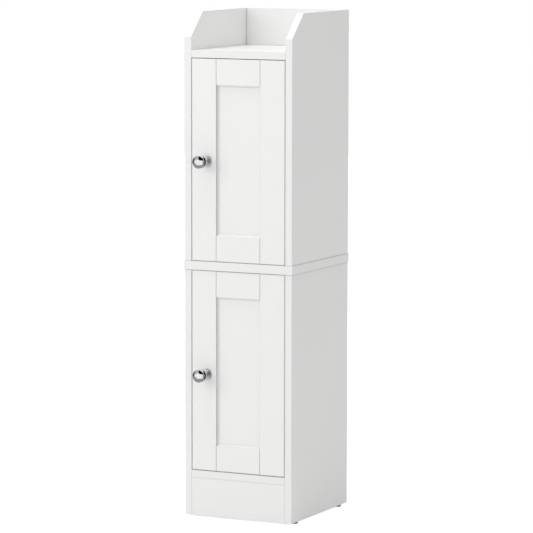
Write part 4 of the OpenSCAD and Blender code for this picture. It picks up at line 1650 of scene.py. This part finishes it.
@dataclass
class Studio:
    """Pale floor, soft lamps, what the chrome mirrors, and the camera."""

    floor_radius: float = 9.0
    floor_sides: int = 96
    floor_grain: float = 3.0
    floor_colour: Colour = srgb(243, 243, 243)
    floor_pale: Colour = srgb(245, 245, 245)
    floor_lift: float = 0.76
    sky_on_object: float = 0.695
    floor_in_mirrors: float = 0.33
    floor_edge: tuple[float, float] = (-26.0, -22.0)
    lamp_aim: Vector = field(default_factory=lambda: Vector((0.0, 0.0, 0.6)))
    key_power: float = 16.0
    key_size: float = 1.6
    key_place: Vector = field(default_factory=lambda: Vector((-1.15, -2.35, 1.6)))
    top_power: float = 22.5
    top_size: float = 1.5
    top_place: Vector = field(default_factory=lambda: Vector((-0.3, -0.4, 3.1)))
    camera_place: Vector = field(default_factory=lambda: Vector((2.9692, -6.0090, 1.2785)))
    camera_yaw: float = 26.236
    camera_pitch: float = -6.576
    camera_roll: float = 0.081
    focal_length: float = 224.2
    sensor_width: float = 36.0
    view_depth: float = 60.0
    cards: tuple[MirrorCard, ...] = (
        MirrorCard(-62.0, 26.0, 34.0, 20.0, level=0.5),
        MirrorCard(-100.0, 4.0, 46.0, 26.0, level=0.12),
        MirrorCard(6.0, 28.0, 28.0, 19.0, level=0.005),
        MirrorCard(84.0, 6.0, 66.0, 56.0, level=0.02),
        MirrorCard(-70.0, -22.0, 30.0, 12.0, level=0.33),
    )

    def world(self) -> None:
        """White to the camera, with the studio's cards in mirrors, and a softer sky on the object."""
        world = bpy.data.worlds.new("studio_sky")
        world.use_nodes = True
        world.node_tree.nodes.clear()
        sketch = Sketch(world.node_tree)
        path = sketch.add("LightPath").outputs
        seen = sketch.math("MAXIMUM", path["Is Camera Ray"], path["Is Glossy Ray"])
        seen = sketch.math("MAXIMUM", seen, path["Is Transmission Ray"])
        strength = sketch.remap(seen, 0.0, 1.0, self.sky_on_object, 1.0)
        direction = sketch.add("TexCoord").outputs["Generated"]
        height = sketch.add("SeparateXYZ", {0: direction}).outputs["Z"]
        low, high = (math.sin(math.radians(angle)) for angle in self.floor_edge)
        mirrored = sketch.remap(height, low, high, self.floor_in_mirrors, 1.0)
        for card in self.cards:
            mirrored = card.over(sketch, direction, mirrored)
        strength = sketch.fade(path["Is Glossy Ray"], strength, mirrored)
        sky = sketch.add("Background", {"Color": (1.0, 1.0, 1.0, 1.0), "Strength": strength})
        sketch.add("OutputWorld", {"Surface": sky.outputs["Background"]})
        bpy.context.scene.world = world

    def floor(self) -> None:
        """Wide disc under the cabinet, lifted to white where the camera looks at it."""
        mesh = bmesh.new()
        bmesh.ops.create_circle(mesh, cap_ends=True, radius=self.floor_radius, segments=self.floor_sides)
        data = bpy.data.meshes.new("floor")
        mesh.to_mesh(data)
        mesh.free()
        disc = bpy.data.objects.new("floor", data)
        bpy.context.scene.collection.objects.link(disc)
        disc.visible_glossy = False
        data.materials.append(self.floor_material())

    def floor_material(self) -> bpy.types.Material:
        """Matt pale floor that adds light for the camera alone.

        Returns:
            The material.
        """
        material = bpy.data.materials.new("pale_floor")
        material.use_nodes = True
        material.node_tree.nodes.clear()
        sketch = Sketch(material.node_tree)
        grain = sketch.noise(sketch.add("TexCoord").outputs["Object"], self.floor_grain, detail=2.0)
        shade = sketch.blend(grain, self.floor_colour, self.floor_pale)
        matt = sketch.add("BsdfDiffuse", {"Color": shade})
        seen = sketch.add("LightPath").outputs["Is Camera Ray"]
        lift = sketch.math("MULTIPLY", seen, self.floor_lift)
        glow = sketch.add("Emission", {"Color": (1.0, 1.0, 1.0, 1.0), "Strength": lift})
        both = sketch.add("AddShader", {0: matt.outputs["BSDF"], 1: glow.outputs["Emission"]})
        sketch.add("OutputMaterial", {"Surface": both.outputs["Shader"]})
        return material

    def lamp(self, name: str, place: Vector, aim: Vector, size: float, power: float) -> None:
        """Adds a square soft box.

        Args:
            name: The lamp's name.
            place: Where its middle is.
            aim: The point that it faces.
            size: Length of its side.
            power: Its power in watts.
        """
        data = bpy.data.lights.new(name, "AREA")
        data.shape = "SQUARE"
        data.size = size
        data.energy = power
        lamp = bpy.data.objects.new(name, data)
        bpy.context.scene.collection.objects.link(lamp)
        lamp.visible_glossy = False
        lamp.location = place
        lamp.rotation_euler = (place - aim).to_track_quat("Z", "Y").to_euler()

    def camera(self) -> None:
        """Camera at the photograph's viewpoint."""
        data = bpy.data.cameras.new("camera")
        data.sensor_width = self.sensor_width
        data.lens = self.focal_length
        data.clip_end = self.view_depth
        camera = bpy.data.objects.new("camera", data)
        bpy.context.scene.collection.objects.link(camera)
        turn = Matrix.Rotation(math.radians(self.camera_yaw), 4, "Z")
        tilt = Matrix.Rotation(math.radians(90.0 + self.camera_pitch), 4, "X")
        roll = Matrix.Rotation(math.radians(self.camera_roll), 4, "Z")
        camera.matrix_world = Matrix.Translation(self.camera_place) @ turn @ tilt @ roll
        bpy.context.scene.camera = camera

    def build(self) -> None:
        """Sets up the whole studio."""
        self.world()
        self.floor()
        self.lamp("key", self.key_place, self.lamp_aim, self.key_size, self.key_power)
        self.lamp("top", self.top_place, self.lamp_aim, self.top_size, self.top_power)
        self.camera()
        bpy.context.scene.view_settings.view_transform = "Standard"
        log.info("studio with %d cards in its mirrors", len(self.cards))


def carcass_fasteners() -> list[Fasteners]:
    """Small parts that ride on the carcass.

    Returns:
        The parts of each CAD node, with the way that their heads point.
    """
    return [
        Screws("plate_screws", Facing.INWARD),
        MachineScrews("arm_screws", Facing.INWARD, head_height=2.0 * MM, recess_depth=1.3 * MM),
        Screws("catch_screws", Facing.DOWN),
        BackNails("back_nails", Facing.BACK),
        ShelfPins("shelf_pins", Facing.INWARD),
        Dowels("dowels", Facing.ALONG),
        CamBolts("cam_bolts", Facing.INWARD),
        PlankBolts("plank_bolts", Facing.ALONG),
        FloorGlides("floor_glides", Facing.DOWN),
    ]


def door_fasteners(half: Half) -> list[Fasteners]:
    """Small parts that ride on one half's door.

    Args:
        half: The half of the cabinet.

    Returns:
        The parts of each CAD node, with the way that their heads point.
    """
    name, body = half.value, half.door_body
    strike_head = {"head_height": 1.0 * MM, "recess_depth": 0.8 * MM}
    knob_head = {"head_height": 2.2 * MM, "recess_depth": 1.4 * MM}
    return [
        Screws(f"{name}_cup_screws", Facing.BACK, body),
        Screws(f"{name}_strike_screw", Facing.BACK, body, **strike_head),
        MachineScrews(f"{name}_knob_screw", Facing.BACK, body, **knob_head),
    ]


def pressed_parts() -> list[PressedParts]:
    """Hinge plates and cups, catches, magnets and strikes.

    Returns:
        The parts of each CAD node, on the carcass and on both doors.
    """
    parts = [
        PressedParts("door_catches", Slot.WHITE_PLASTIC, ease=0.4 * MM),
        PressedParts("catch_magnets", Slot.MAGNET, ease=0.2 * MM),
    ]
    for half in Half:
        name, body = half.value, half.door_body
        parts += [
            PressedParts(f"{name}_hinge_plates", Slot.STEEL),
            PressedParts(f"{name}_hinge_cups", Slot.STEEL, body, ease=0.2 * MM),
            PressedParts(f"{name}_strike", Slot.STEEL, body),
        ]
    return parts


def main() -> None:
    """Builds the cabinet's pieces, dresses them and sets up the studio."""
    logging.basicConfig(level=logging.INFO, format="%(message)s")
    finishes = Finishes()
    for node in FACED_BOARDS:
        FacedBoard(node).build(finishes)
    for half in Half:
        Knob(half).build(finishes)
    for fasteners in carcass_fasteners():
        fasteners.build(finishes)
    for half in Half:
        for fasteners in door_fasteners(half):
            fasteners.build(finishes)
    for parts in pressed_parts():
        parts.build(finishes)
    PackedNodes(finishes).dress()
    Studio().build()


if __name__ == "__main__":
    main()
